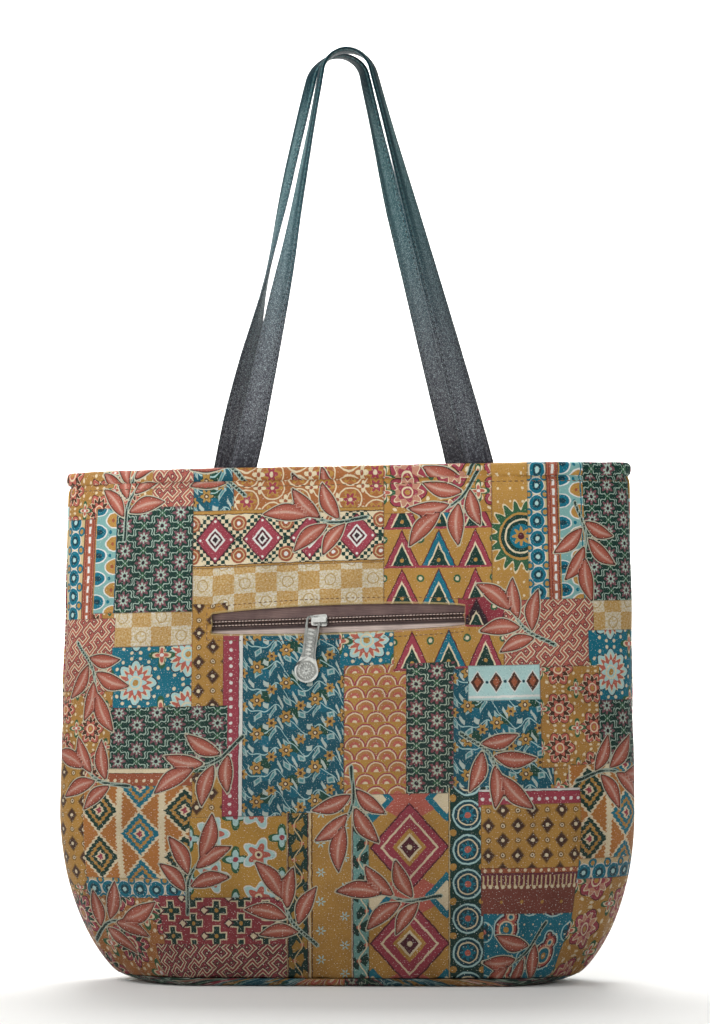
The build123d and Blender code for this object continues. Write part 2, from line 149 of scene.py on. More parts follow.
# %% A value in a material
class Dye:
    """One value in a material's nodes, which takes part in sums as a number does."""

    def __init__(self, tree, socket=None):
        self.tree = tree
        self.socket = socket

    def node(self, kind, settings=None, sockets=None, out=0):
        """A new node with its settings and sockets filled, as the value of one of its outputs."""
        made = self.tree.nodes.new(kind)
        for name, value in (settings or {}).items():
            setattr(made, name, value)
        for key, value in (sockets or {}).items():
            if isinstance(value, Dye):
                self.tree.links.new(value.socket, made.inputs[key])
            else:
                made.inputs[key].default_value = value
        return Dye(self.tree, made.outputs[out])

    def other(self, out):
        return Dye(self.tree, self.socket.node.outputs[out])

    def math(self, operation, *others, clamp=False):
        settings = {"operation": operation, "use_clamp": clamp}
        return self.node("ShaderNodeMath", settings, dict(enumerate((self, *others))))

    def __add__(self, other):
        return self.math("ADD", other)

    __radd__ = __add__

    def __sub__(self, other):
        return self.math("SUBTRACT", other)

    def __rsub__(self, other):
        return self.node("ShaderNodeMath", {"operation": "SUBTRACT"}, {0: other, 1: self})

    def __mul__(self, other):
        return self.math("MULTIPLY", other)

    __rmul__ = __mul__

    def __truediv__(self, other):
        return self.math("DIVIDE", other)

    def __abs__(self):
        return self.math("ABSOLUTE")

    def sine(self):
        return self.math("SINE")

    def least(self, other):
        return self.math("MINIMUM", other)

    def most(self, other):
        return self.math("MAXIMUM", other)

    def repeat(self, pitch):
        """The length within its repeat, measured from the middle of the repeat."""
        return self.math("FLOORED_MODULO", pitch) - pitch / 2

    def every_other(self, pitch):
        """0 in one repeat and 1 in the next."""
        return (self / (2 * pitch)).math("FRACT").math("GREATER_THAN", 0.5)

    def mask(self, soft=0.35):
        """1 where a distance is above zero, 0 below, with a soft edge."""
        return self.math("MULTIPLY_ADD", 1 / soft, 0.5, clamp=True)

    def under(self, colour, cover, blend="MIX"):
        """This colour with another laid over it where the cover is 1."""
        settings = {"data_type": "RGBA", "blend_type": blend}
        return self.node("ShaderNodeMix", settings, {0: cover, 6: self, 7: colour}, out=2)

    def ramp(self, *stops):
        """The colour for this value among inks that are given with their places from 0 to 1."""
        colour = self.node("ShaderNodeValToRGB", None, {0: self})
        elements = colour.socket.node.color_ramp.elements
        while len(elements) < len(stops):
            elements.new(1.0)
        for element, (place, code) in zip(elements, stops):
            element.position = place
            element.color = ink(code)
        return colour

    def mottle(self, spot, scale, detail, out=0):
        """Soft noise over a place, about a half on the whole."""
        sockets = {"Vector": spot, "Scale": scale, "Detail": detail}
        return self.node("ShaderNodeTexNoise", None, sockets, out)

    def bump(self, strength, distance):
        """The way a surface faces when this value is its height."""
        sockets = {"Strength": strength, "Distance": distance, "Height": self}
        return self.node("ShaderNodeBump", None, sockets)

    def on_object(self):
        """The place in the object's own frame, in metres."""
        return self.node("ShaderNodeTexCoord", out="Object")

    def above_floor(self):
        """The height in the object's own frame, in metres."""
        return self.node("ShaderNodeSeparateXYZ", None, {0: self.on_object()}).other(2)


# %% [markdown]
# Shapes are distances in millimetres, above zero inside. A whole motif is a ground colour and a list of
# shapes, laid one over the other as a printer lays screens.


# %% Shapes of the print
def spot_at(x, y):
    return x.node("ShaderNodeCombineXYZ", None, {0: x, 1: y})


def reach(x, y):
    return x.node("ShaderNodeVectorMath", {"operation": "LENGTH"}, {0: spot_at(x, y)}, out="Value")


def disc(x, y, radius):
    return radius - reach(x, y)


def hoop(x, y, radius, width):
    return width / 2 - abs(reach(x, y) - radius)


def lozenge(x, y, half_wide, half_tall):
    size = half_wide * half_tall / math.hypot(half_wide, half_tall)
    return (1 - abs(x) / half_wide - abs(y) / half_tall) * size


def block(x, y, half_wide, half_tall):
    return (half_wide - abs(x)).least(half_tall - abs(y))


def bloom(x, y, radius, lobe, petals):
    bearing = y.math("ARCTAN2", x) * petals
    return bearing.math("COSINE") * lobe + radius - reach(x, y)


def band(x, width):
    return width / 2 - abs(x)


def screens(ground, *layers):
    """A ground colour with shapes laid over it in turn, each with its colour."""
    colour = ground
    for shape, shade in layers:
        cover = shape.mask()
        if isinstance(colour, Dye):
            colour = colour.under(shade, cover)
        else:
            settings = {"data_type": "RGBA"}
            colour = shape.node("ShaderNodeMix", settings, {0: cover, 6: colour, 7: shade}, out=2)
    return colour


def half_drop(x, y, wide, tall):
    """Places within a repeat in which every other column is dropped by half."""
    return x.repeat(wide), (y + x.every_other(wide) * (tall / 2)).repeat(tall)


print("shapes ready")

# %% [markdown]
# ## The inks
# The print keeps mostly to fifteen inks: ochre and cream grounds, terracotta, coral and rose, deep green,
# teal and aqua, and plum for the dark lines.

# %% Inks
ochre = ink("CD9B4B")
cream = ink("FDECC6")
sand = ink("E9CF9A")
terracotta = ink("B0603F")
coral = ink("D26F5E")
rose = ink("B24656")
wine = ink("5E1F2E")
plum = ink("352029")
umber = ink("523322")
bottle = ink("083D33")
leaf_green = ink("356A47")
teal = ink("0A7C94")
deep_teal = ink("074655")
aqua = ink("C6EFED")
white = ink("FFFEF8")


# %% [markdown]
# ## The patterns of the patchwork
# Every patch has a small pattern of a traditional kind, and some come more than once: lattices, diamonds,
# frets, scallops, medallions, vines and dotted stripes. A pattern is a function of the place within its
# patch, in millimetres from the patch's lower left corner.


# %% Lattices, diamonds and checks
def lattice_of(ground, line, flower):
    def pattern(x, y):
        u, v = half_drop(x, y, 13.5, 16.0)
        p, q = half_drop(x, y + 8.0, 13.5, 16.0)
        return screens(
            ground,
            (bloom(u, v, 7.6, 0.9, 8), line),
            (bloom(u, v, 6.9, 0.9, 8), ground),
            (bloom(u, v, 4.6, 1.3, 8), flower),
            (bloom(u, v, 2.7, 0.9, 8), line),
            (disc(u, v, 1.3), plum),
            (bloom(p, q, 1.7, 0.7, 4), leaf_green),
            (disc(p, q, 0.6), line),
        )

    return pattern


def diamond_row(x, y):
    v = y - 18.0
    u, w = x.repeat(31.0), (x + 15.5).repeat(31.0)
    steps = abs(x.every_other(2.4) - y.every_other(2.4)) - 0.5
    outside = lozenge(u, v, 13.4, 15.4)
    return screens(
        cream,
        ((outside + 5.5).least(steps), bottle),
        (disc(w, abs(v) - 10.5, 5.2), terracotta),
        (hoop(w, abs(v) - 10.5, 3.4, 0.7), sand),
        (disc(w, abs(v) - 10.5, 1.3), white),
        (disc(w, v, 1.8), bottle),
        (outside, wine),
        (outside - 0.8, rose),
        (lozenge(u, v, 6.8, 7.8), white),
        (lozenge(u, v, 5.2, 6.0), wine),
        (lozenge(u, v, 3.4, 4.0), white),
        (lozenge(u, v, 1.9, 2.2), plum),
        (disc(abs(u) - 10.4, v, 0.8), white),
        (disc(u, abs(v) - 12.0, 0.8), white),
        (abs(v) - 16.4, ochre),
        (band(abs(v) - 16.6, 0.6), umber),
    )


def check(x, y):
    u, v = x.repeat(14.0), y.repeat(13.0)
    odd = abs(x.every_other(14.0) - y.every_other(13.0)) - 0.5
    mottle = x.mottle(spot_at(x, y), 0.75, 3.0)
    fine = abs(x.every_other(2.4) - y.every_other(2.4)) - 0.5
    return screens(
        ochre,
        ((mottle - 0.55).least(-1 * odd), sand),
        (odd, ink("DCC48C")),
        (odd.least(fine).least(mottle - 0.45), sand),
        (odd.least(mottle - 0.56), white),
        (hoop(u, v, 3.6, 0.7).least(odd), ink("C9A868")),
    )


def lozenges(x, y):
    u, v = half_drop(x, y, 9.6, 19.0)
    p, q = half_drop(x, y + 9.5, 9.6, 19.0)
    return screens(
        ochre,
        (lozenge(u, v, 4.8, 5.6), ink("8F6A34")),
        (lozenge(u, v, 3.9, 4.5), umber),
        (disc(u, v, 1.2), cream),
        (disc(p, q, 2.0), ink("8F6A34")),
        (disc(p, q, 1.2), cream),
        (disc(p, q, 0.6), umber),
    )


def aqua_diamonds(x, y):
    u = x.repeat(12.4)
    v = y - 12.0
    return screens(
        aqua,
        (lozenge(u, v, 5.2, 7.4), white),
        (lozenge(u, v, 4.4, 6.4), umber),
        (lozenge(u, v, 2.4, 3.6), terracotta),
        (disc((x + 6.2).repeat(12.4), v, 1.0), deep_teal),
        (band(v + 9.5, 1.4), white),
    )


def ikat(x, y):
    jag = abs(y.repeat(2.6)) * 1.1
    u, v = half_drop(x, y, 30.0, 31.0)
    u = u + jag
    odd = x.every_other(30.0)
    inner = screens(bottle, (odd - 0.5, teal))
    return screens(
        ink("C9823F"),
        (band((x + 15.0).repeat(30.0) + jag, 4.5), cream),
        (lozenge(u, v, 15.4, 16.4), cream),
        (lozenge(u, v, 13.4, 14.2), inner),
        (lozenge(u, v, 9.6, 10.4), ochre),
        (lozenge(u, v, 7.0, 7.6), inner),
        (lozenge(u, v, 4.0, 4.4), cream),
        (lozenge(u, v, 2.2, 2.6), rose),
    )


def big_diamonds(x, y):
    u, v = x - 26.5, (y - 8.0).repeat(62.0)
    corner = (y + 23.0).repeat(62.0)
    return screens(
        ochre,
        (lozenge(u, corner, 30.0, 17.0) - 1.0, coral),
        (lozenge(abs(u) - 24.0, corner, 14.0, 15.0), teal),
        (lozenge(abs(u) - 24.0, corner, 9.0, 9.6), cream),
        (lozenge(u, v, 26.0, 29.0), wine),
        (lozenge(u, v, 24.6, 27.4), rose),
        (lozenge(u, v, 19.0, 21.0), cream),
        (lozenge(u, v, 17.2, 19.2), rose),
        (lozenge(u, v, 11.0, 12.4), ochre),
        (lozenge(u, v, 8.0, 9.0), cream),
        (lozenge(u, v, 6.2, 7.0), wine),
        (disc(u, v, 1.8), cream),
    )


# %% [markdown]
# A fret is a line that steps up and down like a battlement. Rows of it are set on the slant, one inside
# the other.


# %% Frets, triangles and stripes
def fret_of(ground, line):
    def pattern(x, y):
        along = (x + y) * 0.7071
        up = (y - x) * 0.7071
        step = 7.0
        q = up.repeat(9.5)
        treads = band(q - (along.every_other(step) - 0.5) * 5.0, 2.0)
        risers = band(abs(along.repeat(step)) - step / 2, 2.0).least(3.5 - abs(q))
        stair = treads.most(risers)
        u, v = along.repeat(step), q + (along.every_other(step) - 0.5) * 3.4
        return screens(
            ground,
            (stair + 0.9, line),
            (stair + 0.3, cream),
            (stair - 0.35, ground),
            (lozenge(u, v, 1.5, 1.5), line),
            (disc(u, v, 0.5), cream),
        )

    return pattern


def triangles_of(ground, first, second):
    def pattern(x, y):
        u, v = x.repeat(24.0), y.math("FLOORED_MODULO", 26.0)
        slope = (12.0 - v * 0.46 - abs(u)) * 0.9
        w = (x + 12.0).repeat(24.0)
        fill = screens(first, (x.every_other(24.0) - 0.5, second))
        return screens(
            ground,
            (disc(w, v - 19.0, 2.6), leaf_green),
            (disc(w, v - 19.0, 1.3), cream),
            (slope, wine),
            (slope - 0.7, fill),
            (slope - 3.6, cream),
            (slope - 4.6, bottle),
            (disc(u, v - 5.0, 1.3), ochre),
            (band(v - 0.7, 1.4), rose),
        )

    return pattern


def dotted_stripe_of(ground, dot, middle, lengthwise):
    def pattern(x, y):
        across, along = (x, y) if lengthwise else (y, x)
        u = across - middle
        return screens(
            ground,
            (disc(u + middle * 0.2, along.repeat(5.3), 1.1), dot),
            (u - middle * 0.6, plum),
            (u - middle * 0.66, dot),
        )

    return pattern


def blobs_of(middle, lengthwise):
    def pattern(x, y):
        across, along = (x, y) if lengthwise else (y, x)
        u, v = across - middle, along.repeat(12.0)
        w = (along + 6.0).repeat(12.0)
        return screens(
            sand,
            (disc(u, v, 5.9), white),
            (disc(u, v, 5.4), teal),
            (disc(u, v, 3.2), deep_teal),
            (disc(u, v, 1.5), aqua),
            (disc(abs(u) - 6.0, w, 3.0), teal),
            (disc(abs(u) - 6.0, w, 1.5), ochre),
        )

    return pattern


def dashes(x, y):
    u, v = x - 5.0, y.repeat(6.4)
    return screens(
        ink("BC6A4E"),
        (block(u, v, 0.9, 2.2), white),
        (band(abs(u) - 2.6, 0.6), ink("8A3A34")),
        (abs(u) - 4.2, ink("8F4A36")),
    )


def lobes(x, y):
    v, w = y.repeat(15.0), (y + 7.5).repeat(15.0)
    left = disc((x - 2.0) * 0.62, v, 4.3)
    right = disc((x - 17.0) * 0.62, w, 4.6)
    return screens(
        ink("8FC4C0"),
        (right + 0.7, white),
        (right, ochre),
        (disc(x - 14.5, w, 1.2), terracotta),
        (left + 0.7, white),
        (left, teal),
        (disc((x - 3.5) * 0.6, v, 1.7), deep_teal),
        (disc(x - 12.5, v, 1.3), teal),
        (band(x - 0.6, 1.0), ochre),
        (band(x - 17.6, 1.0), teal),
    )


def asterisks(x, y):
    u, v = half_drop(x, y, 15.5, 19.0)
    return screens(
        ochre,
        (bloom(u, v, 1.7, 1.5, 6), aqua),
        (disc(u, v, 0.8), ochre),
        (band(x - 2.0, 0.7), umber),
        (band(x - 29.0, 0.7), umber),
        (1.1 - x, cream),
    )


def plum_plain(x, y):
    return screens(
        ink("8C4A3C"),
        (y - 20.0, ink("7A3540")),
        (block(x.repeat(3.0), y - 22.5, 0.5, 3.5), sand),
        (disc(x.repeat(4.2), y - 18.6, 1.2), cream),
        (disc((x + 7.0).repeat(14.0), y - 9.0, 1.1), ochre),
    )


# %% [markdown]
# Flowers and medallions are circles whose edge waves in and out as many times as there are petals.


# %% Medallions, flowers and vines
def medallions_of(ground, petal, heart, pitch, petals):
    def pattern(x, y):
        size = pitch / 24.0
        u, v = half_drop(x, y, pitch, pitch)
        p, q = half_drop(x + pitch / 2, y, pitch, pitch)
        far = reach(u, v)
        share = (v.math("ARCTAN2", u) * (petals / math.pi)).math("FRACT")
        pearls = disc(share * 4.0 - 2.0, far / size - 10.9, 0.75)
        return screens(
            ground,
            (pearls * size, cream),
            (bloom(u, v, 9.2 * size, 1.2 * size, petals), plum),
            (bloom(u, v, 8.7 * size, 1.2 * size, petals), petal),
            (bloom(u, v, 7.2 * size, 1.3 * size, 2 * petals), cream),
            (bloom(u, v, 6.5 * size, 1.2 * size, 2 * petals), heart),
            (bloom(u, v, 4.4 * size, 1.0 * size, petals), petal),
            (hoop(u, v, 2.7 * size, 0.8 * size), cream),
            (disc(u, v, 1.4 * size), ochre),
            (bloom(p, q, 4.2 * size, 1.9 * size, 4), leaf_green),
            (bloom(p, q, 3.0 * size, 1.3 * size, 4), cream),
            (bloom(p, q, 2.2 * size, 1.0 * size, 4), coral),
            (disc(p, q, 0.9 * size), white),
        )

    return pattern


def lace(x, y):
    u, v = half_drop(x, y, 17.0, 17.0)
    p, q = half_drop(x + 8.5, y, 17.0, 17.0)
    return screens(
        ink("BC7440"),
        (hoop(u, v, 7.6, 0.9), cream),
        (bloom(u, v, 5.2, 1.6, 6), ochre),
        (bloom(u, v, 3.4, 1.1, 6), rose),
        (disc(u, v, 1.3), cream),
        (bloom(p, q, 2.8, 1.4, 4), cream),
        (disc(p, q, 1.2), terracotta),
    )


def scallops(x, y):
    row = y.math("FLOORED_MODULO", 8.0)
    u = (x + y.every_other(8.0) * 7.0).repeat(14.0)
    far = reach(u, row)
    return screens(
        ochre,
        (7.1 - far, rose),
        (6.2 - far, cream),
        (5.4 - far, ink("C98A52")),
        (3.4 - far, coral),
        (1.6 - far, cream),
    )


def vine(x, y):
    u, v = half_drop(x, y, 19.0, 22.0)
    p, q = half_drop(x + 9.5, y + 4.0, 19.0, 22.0)
    wave = (x * (2 * math.pi / 31.0)).sine() * 4.6 + (x * (2 * math.pi / 13.0)).sine() * 1.2
    slope = y * 0.92 + x * 0.4 + wave
    leaf_x = (x + 4.0).repeat(9.5)
    leaf_y = (slope + 3.2).repeat(13.0)
    leaf = lozenge(leaf_x - leaf_y * 0.7, leaf_y, 2.6, 3.2)
    small_y = (slope - 3.4).repeat(13.0)
    small = lozenge((x - 1.0).repeat(9.5) + small_y * 0.6, small_y, 2.0, 2.6)
    return screens(
        ink("0E5F72"),
        (disc(p + 5.0, q + 5.5, 4.6), ink("15503F")),
        (disc(u - 5.0, v + 5.0, 3.8), ink("0C7088")),
        (band(slope.repeat(13.0), 0.6), aqua),
        (leaf, ink("BBD6D2")),
        (leaf - 0.9, ink("5FA3A8")),
        (small, ink("CFDFD6")),
        (bloom(u, v, 4.1, 0.9, 6), bottle),
        (bloom(u, v, 3.6, 0.9, 6), ink("C79A4E")),
        (disc(u, v, 1.6), umber),
        (disc(u, v, 0.8), cream),
        (bloom(p, q, 2.9, 0.7, 6), ink("C79A4E")),
        (disc(p, q, 1.1), umber),
    )


def flowers(x, y):
    u, v = half_drop(x, y, 30.0, 28.0)
    p, q = half_drop(x + 15.0, y + 3.0, 30.0, 28.0)
    return screens(
        ink("D2A046"),
        (bloom(p, q, 6.6, 2.4, 4), leaf_green),
        (bloom(p, q, 4.6, 1.8, 4), aqua),
        (disc(p, q, 1.8), rose),
        (bloom(u, v, 9.4, 2.4, 5), white),
        (bloom(u, v, 8.4, 2.4, 5), aqua),
        (bloom(u, v, 5.8, 1.9, 5), coral),
        (disc(u, v, 2.4), cream),
        (disc(u, v, 1.1), wine),
    )


def crosses(x, y):
    u, v = half_drop(x, y, 16.0, 17.0)
    p, q = half_drop(x + 8.0, y, 16.0, 17.0)
    arms = block(u, v, 6.2, 1.9).most(block(u, v, 1.9, 6.2))
    return screens(
        ink("A4424A"),
        (arms + 0.8, cream),
        (arms, bottle),
        (disc(u, v, 1.3), ochre),
        (lozenge(p, q, 3.6, 3.6), wine),
        (lozenge(p, q, 2.2, 2.2), cream),
    )


def rings(x, y):
    u, v = x - 12.5, y.repeat(22.0)
    p = (y + 11.0).repeat(22.0)
    return screens(
        bottle,
        (disc(u, v, 10.2), deep_teal),
        (hoop(u, v, 9.2, 1.1), aqua),
        (hoop(u, v, 6.4, 0.9), cream),
        (bloom(u, v, 4.2, 1.2, 8), teal),
        (disc(u, v, 2.0), coral),
        (disc(abs(u) - 9.5, p, 2.2), ochre),
        (band(abs(u) - 11.9, 0.8), sand),
    )


def leaf_strip_of(ground, leaf, vein):
    def pattern(x, y):
        wave = (y * (2 * math.pi / 22.0)).sine() * 2.6
        u = x - 7.5 + wave
        side = (y / 22.0).math("FRACT") - 0.5
        v = y.repeat(11.0)
        return screens(
            ground,
            (lozenge(u - 3.2, v - 1.0, 3.6, 4.6), leaf),
            (lozenge(u + 3.2, v + 1.6, 3.6, 4.6), leaf),
            (disc(u, v + side, 1.4), coral),
            (band(u, 0.9), vein),
            (abs(x - 7.5) - 6.4, vein),
            (band(abs(x - 7.5) - 6.4, 0.6), wine),
        )

    return pattern


def sun(x, y):
    u, v = x - 21.0, y - 44.0
    far = reach(u, v)
    rays = (v.math("ARCTAN2", u) * 18.0).math("COSINE") * 3.2
    return screens(
        ochre,
        (disc(x.repeat(9.0), y.repeat(9.0), 0.9), cream),
        (rays + 22.0 - far, cream),
        (rays + 20.6 - far, leaf_green),
        (16.0 - far, ochre),
        (14.4 - far, bottle),
        (hoop(u, v, 11.2, 1.2), cream),
        (8.0 - far, teal),
        (bloom(u, v, 5.0, 1.5, 8), ochre),
        (2.2 - far, wine),
    )


def paisley(x, y):
    u, v = half_drop(x, y, 33.0, 34.0)
    p, q = half_drop(x + 16.5, y + 5.0, 33.0, 34.0)
    drop = disc(u, v + 3.0, 8.6).most(disc(u - 3.0, v - 5.0, 5.4)).most(disc(u - 1.0, v - 9.6, 2.6))
    return screens(
        teal,
        (hoop(p, q, 6.4, 0.8), aqua),
        (bloom(p, q, 4.2, 1.4, 6), deep_teal),
        (disc(p, q, 1.8), coral),
        (drop + 1.0, aqua),
        (drop, wine),
        (drop - 1.4, coral),
        (drop - 3.0, cream),
        (drop - 4.0, teal),
        (disc(u, v + 3.4, 2.0), ochre),
        (disc(x.repeat(6.6), y.repeat(6.8), 0.6), cream),
    )


patterns = {
    "medallions": medallions_of(ink("C28F48"), coral, umber, 25.0, 6),
    "blobs": blobs_of(7.0, True),
    "blobs_edge": blobs_of(17.0, True),
    "dashes": dashes,
    "lobes": lobes,
    "lattice": lattice_of(bottle, ink("C2DCCB"), ink("8E5862")),
    "lattice_plum": lattice_of(ink("123A33"), ink("C4D6C0"), ink("94525A")),
    "fret": fret_of(ink("C66B5C"), ink("7A2F3C")),
    "fret_plum": fret_of(ink("A3424C"), ink("3E2228")),
    "vine": vine,
    "lace": lace,
    "diamond_row": diamond_row,
    "check": check,
    "damask": medallions_of(ink("C99446"), rose, ink("D99A80"), 31.0, 5),
    "triangles": triangles_of(ochre, rose, teal),
    "triangles_dark": triangles_of(ink("A33B48"), plum, bottle),
    "sun": sun,
    "medallion_teal": medallions_of(teal, aqua, coral, 36.0, 8),
    "lozenges": lozenges,
    "rose_stripe": dotted_stripe_of(rose, white, 6.5, True),
    "rose_stripe_across": dotted_stripe_of(rose, white, 6.0, False),
    "scallops": scallops,
    "aqua_diamonds": aqua_diamonds,
    "terracotta_stripe": dotted_stripe_of(terracotta, cream, 6.0, False),
    "ikat": ikat,
    "blobs_across": blobs_of(7.0, False),
    "medallion_rose": medallions_of(ink("BF7E45"), rose, bottle, 38.0, 8),
    "crosses": crosses,
    "flowers": flowers,
    "leaf_strip": leaf_strip_of(bottle, ink("B98F3C"), sand),
    "asterisks": asterisks,
    "aqua_strip": leaf_strip_of(ink("7FB5AE"), bottle, cream),
    "big_diamonds": big_diamonds,
    "rings": rings,
    "plum_plain": plum_plain,
    "paisley": paisley,
}
print("patterns:", len(patterns))

# %% [markdown]
# ## One cloth for every pattern
# All the patches are printed on the same cloth: a slightly glazed plain weave. Each patch has a thin dark
# outline, and sprigs of coral leaves are printed over everything, so both belong in the shared finish and
# not in a pattern. The leaves come from attributes that the mesh carries, a distance to the nearest leaf
# and a place within it.


# %% Printed cloth
thread_depth = 0.0003


def new_material(name):
    material = bpy.data.materials.new(name)
    material.use_nodes = True
    tree = material.node_tree
    tree.nodes.remove(tree.nodes["Principled BSDF"])
    return material, Dye(tree)


def finish_with(start, colour, roughness, normal, **constants):
    """The surface shader, with what varies linked and what is the same all over set on its socket."""
    sockets = {"Base Color": colour, "Roughness": roughness}
    if normal is not None:
        sockets["Normal"] = normal
    for name, value in constants.items():
        sockets[name.replace("_", " ").title().replace("Ior", "IOR")] = value
    shader = start.node("ShaderNodeBsdfPrincipled", None, sockets)
    output = start.tree.nodes["Material Output"]
    start.tree.links.new(shader.socket, output.inputs["Surface"])


def map_of(start, name):
    spot = start.node("ShaderNodeUVMap", {"uv_map": name})
    parts = start.node("ShaderNodeSeparateXYZ", None, {0: spot})
    return parts, parts.other(1)


def leaf_sprigs(colour):
    """Coral leaves with a pale streak and a thin double outline, and dark stems under them."""
    spot = colour.node("ShaderNodeAttribute", {"attribute_name": "leaf"}, out="Vector")
    edge = colour.node("ShaderNodeSeparateXYZ", None, {0: spot})
    along, across = edge.other(1), edge.other(2)
    stem = colour.node("ShaderNodeAttribute", {"attribute_name": "stem"}, out="Fac")
    length_glow = (along * (1 - along) * 4.4).math("ADD", -0.1, clamp=True)
    streak = (1 - abs(across) * 0.75).math("ADD", 0.0, clamp=True) * length_glow
    core = (edge * 0.42).math("ADD", 0.0, clamp=True)
    colour = colour.under(ink("B9CDBE"), (stem + 0.6).mask())
    colour = colour.under(ink("1D3A34"), stem.mask())
    colour = colour.under(ink("DDD8BE"), (edge + 1.15).mask())
    colour = colour.under(ink("3F2222"), (edge + 0.55).mask(0.3))
    colour = colour.under(ink("A8503F"), edge.mask())
    colour = colour.under(ink("CC7560"), edge.mask() * core)
    return colour.under(ink("F0CFBC"), streak * edge.mask() * 0.8)


def weave_bump(u, v, pitch, strength):
    threads = (u * (2 * math.pi / pitch)).sine() * (v * (2 * math.pi / pitch)).sine()
    return (threads * 0.5 + 0.5).bump(strength, thread_depth)


def printed_cloth(name, pattern):
    """A pattern with its outline, the leaves over it, a paler slot lip, painted shade towards the floor and
    fine specks, the pale ones painted glints.
    """
    material, start = new_material(name)
    x, y = map_of(start, "patch")
    edge_x, edge_y = map_of(start, "edge")
    u, v = map_of(start, "cloth")
    place = spot_at(u, v)
    shift = start.node("ShaderNodeSeparateXYZ", None, {0: start.mottle(place, 0.22, 2.0, "Color")})
    colour = pattern(x + (shift - 0.5) * 1.5, y + (shift.other(1) - 0.5) * 1.5)
    colour = colour.under(ink("4A2E2A"), (0.5 - edge_x.least(edge_y)).mask() * 0.5)
    colour = leaf_sprigs(colour)
    folded_lip = start.node("ShaderNodeAttribute", {"attribute_name": "folded_lip"}, out="Fac")
    # The slot's folded lip is painted paler.
    colour = colour.under(ink("EBCF92"), folded_lip * 0.65)
    blotch = start.mottle(place, 0.03, 4.0)
    speck = start.mottle(place, 1.1, 2.0)
    # Painted shade: the cloth is darkened more and more towards the floor, in soft blotches.
    painted_floor_shade = (blotch * 0.5 - start.above_floor() * 1.6).math("ADD", 0.5, clamp=True)
    colour = colour.under(ink("6A6057"), painted_floor_shade, "MULTIPLY")
    # Pale specks painted as glints of light on the weave; the darker flecks below are the cloth's own.
    colour = colour.under(ink("F2EEE2"), (speck - 0.675).mask(0.08) * 0.6)
    colour = colour.under(ink("5A4238"), (0.34 - speck).mask(0.08) * 0.45, "MULTIPLY")
    finish_with(start, colour, 0.42 + blotch * 0.25, weave_bump(u, v, 1.05, 0.35), specular_ior_level=0.25)
    return material


print_materials = [printed_cloth(f"print_{name}", pattern) for name, pattern in patterns.items()]
pattern_number = {name: number for number, name in enumerate(patterns)}
print("printed cloths:", len(print_materials))

# %% [markdown]
# ## Where the patches lie
# The cloth is laid out flat first, in millimetres: across from the middle of the front, and up from the
# floor. Each row below is one patch, left, bottom, right, top and its pattern, and a later patch covers
# an earlier one. The print repeats after its width across, and on cloth that is shifted up it repeats
# after its height too.

# %% Patchwork table
print_wide, print_tall = 424.0, 333.0
patches = [
    (-212, -10, 212, 350, "medallions"),
    (-212, 242, -186, 309, "blobs_edge"),
    (-186, 242, -175, 309, "dashes"),
    (-176, 248, -158, 315, "lobes"),
    (-159, 248, -101, 318, "lattice"),
    (-132, 316, -101, 350, "fret"),
    (-102, 311, -75, 350, "vine"),
    (-75, 309, 25, 350, "lace"),
    (-101, 275, 25, 312, "diamond_row"),
    (-101, 244, 25, 276, "check"),
    (-159, 226, -100, 248, "check"),
    (24, 306, 96, 350, "damask"),
    (24, 244, 96, 308, "triangles"),
    (95, 247, 122, 350, "sun"),
    (121, 247, 135, 350, "blobs"),
    (135, 246, 144, 350, "dashes"),
    (144, 246, 164, 350, "lobes"),
    (163, 245, 212, 350, "lattice"),
    (163, 226, 212, 246, "check"),
    (73, 226, 105, 251, "triangles_dark"),
    (103, 204, 168, 248, "fret"),
    (-212, 196, -157, 245, "fret"),
    (-158, 183, -100, 226, "medallion_teal"),
    (163, 181, 212, 227, "medallion_teal"),
    (-101, 109, -77, 252, "lozenges"),
    (-80, 112, -67, 232, "rose_stripe"),
    (-68, 111, -1, 231, "vine"),
    (-5, 208, 33, 231, "medallion_teal"),
    (-2, 124, 40, 210, "scallops"),
    (31, 205, 103, 231, "triangles"),
    (38, 124, 71, 209, "lattice_plum"),
    (69, 125, 136, 204, "vine"),
    (79, 183, 128, 206, "aqua_diamonds"),
    (128, 140, 171, 205, "medallions"),
    (-212, 146, -157, 197, "medallions"),
    (-158, 142, -78, 185, "lattice"),
    (169, 139, 212, 182, "lattice"),
    (-162, 132, -100, 144, "terracotta_stripe"),
    (-179, 70, -100, 133, "ikat"),
    (-212, 66, -178, 148, "lozenges"),
    (145, 78, 212, 142, "ikat"),
    (-179, 58, -99, 72, "blobs_across"),
    (152, 66, 212, 81, "blobs_across"),
    (-212, -10, -121, 60, "medallion_rose"),
    (-125, 26, -34, 61, "crosses"),
    (-132, -10, -34, 29, "fret_plum"),
    (-101, 59, -37, 112, "flowers"),
    (-39, -10, -23, 114, "leaf_strip"),
    (-25, -10, 6, 114, "asterisks"),
    (3, -10, 17, 125, "aqua_strip"),
    (15, -10, 68, 125, "big_diamonds"),
    (66, -10, 91, 128, "rings"),
    (86, 115, 154, 127, "rose_stripe_across"),
    (88, 76, 154, 117, "lozenges"),
    (88, 70, 154, 77, "terracotta_stripe"),
    (88, 46, 154, 73, "plum_plain"),
    (89, -10, 180, 48, "paisley"),
    (153, -10, 212, 69, "damask"),
]

# %% [markdown]
# Sprigs of leaves are scattered over the patches. Every one is the same plain sprig: leaves set to the left
# and right of a bowed stem, with one at its end. It is repeated across the cloth, and in a column each sprig
# is turned 137 degrees further than the one below it.

# %% Leaf sprigs
sprig_leaves = [(4.0, 62, 25), (8.0, -58, 27), (15.0, 46, 28), (20.0, -40, 27), (27.0, 4, 30)]
sprig_stem = 27.0
sprigs = []
for column, x in enumerate((-182, -104, -26, 52, 130)):
    for row, y in enumerate((34, 134, 222, 304)):
        sprigs.append((x + 30 * (row % 2), y + 24 * (column % 2), 20 + 137 * (3 * column + row)))
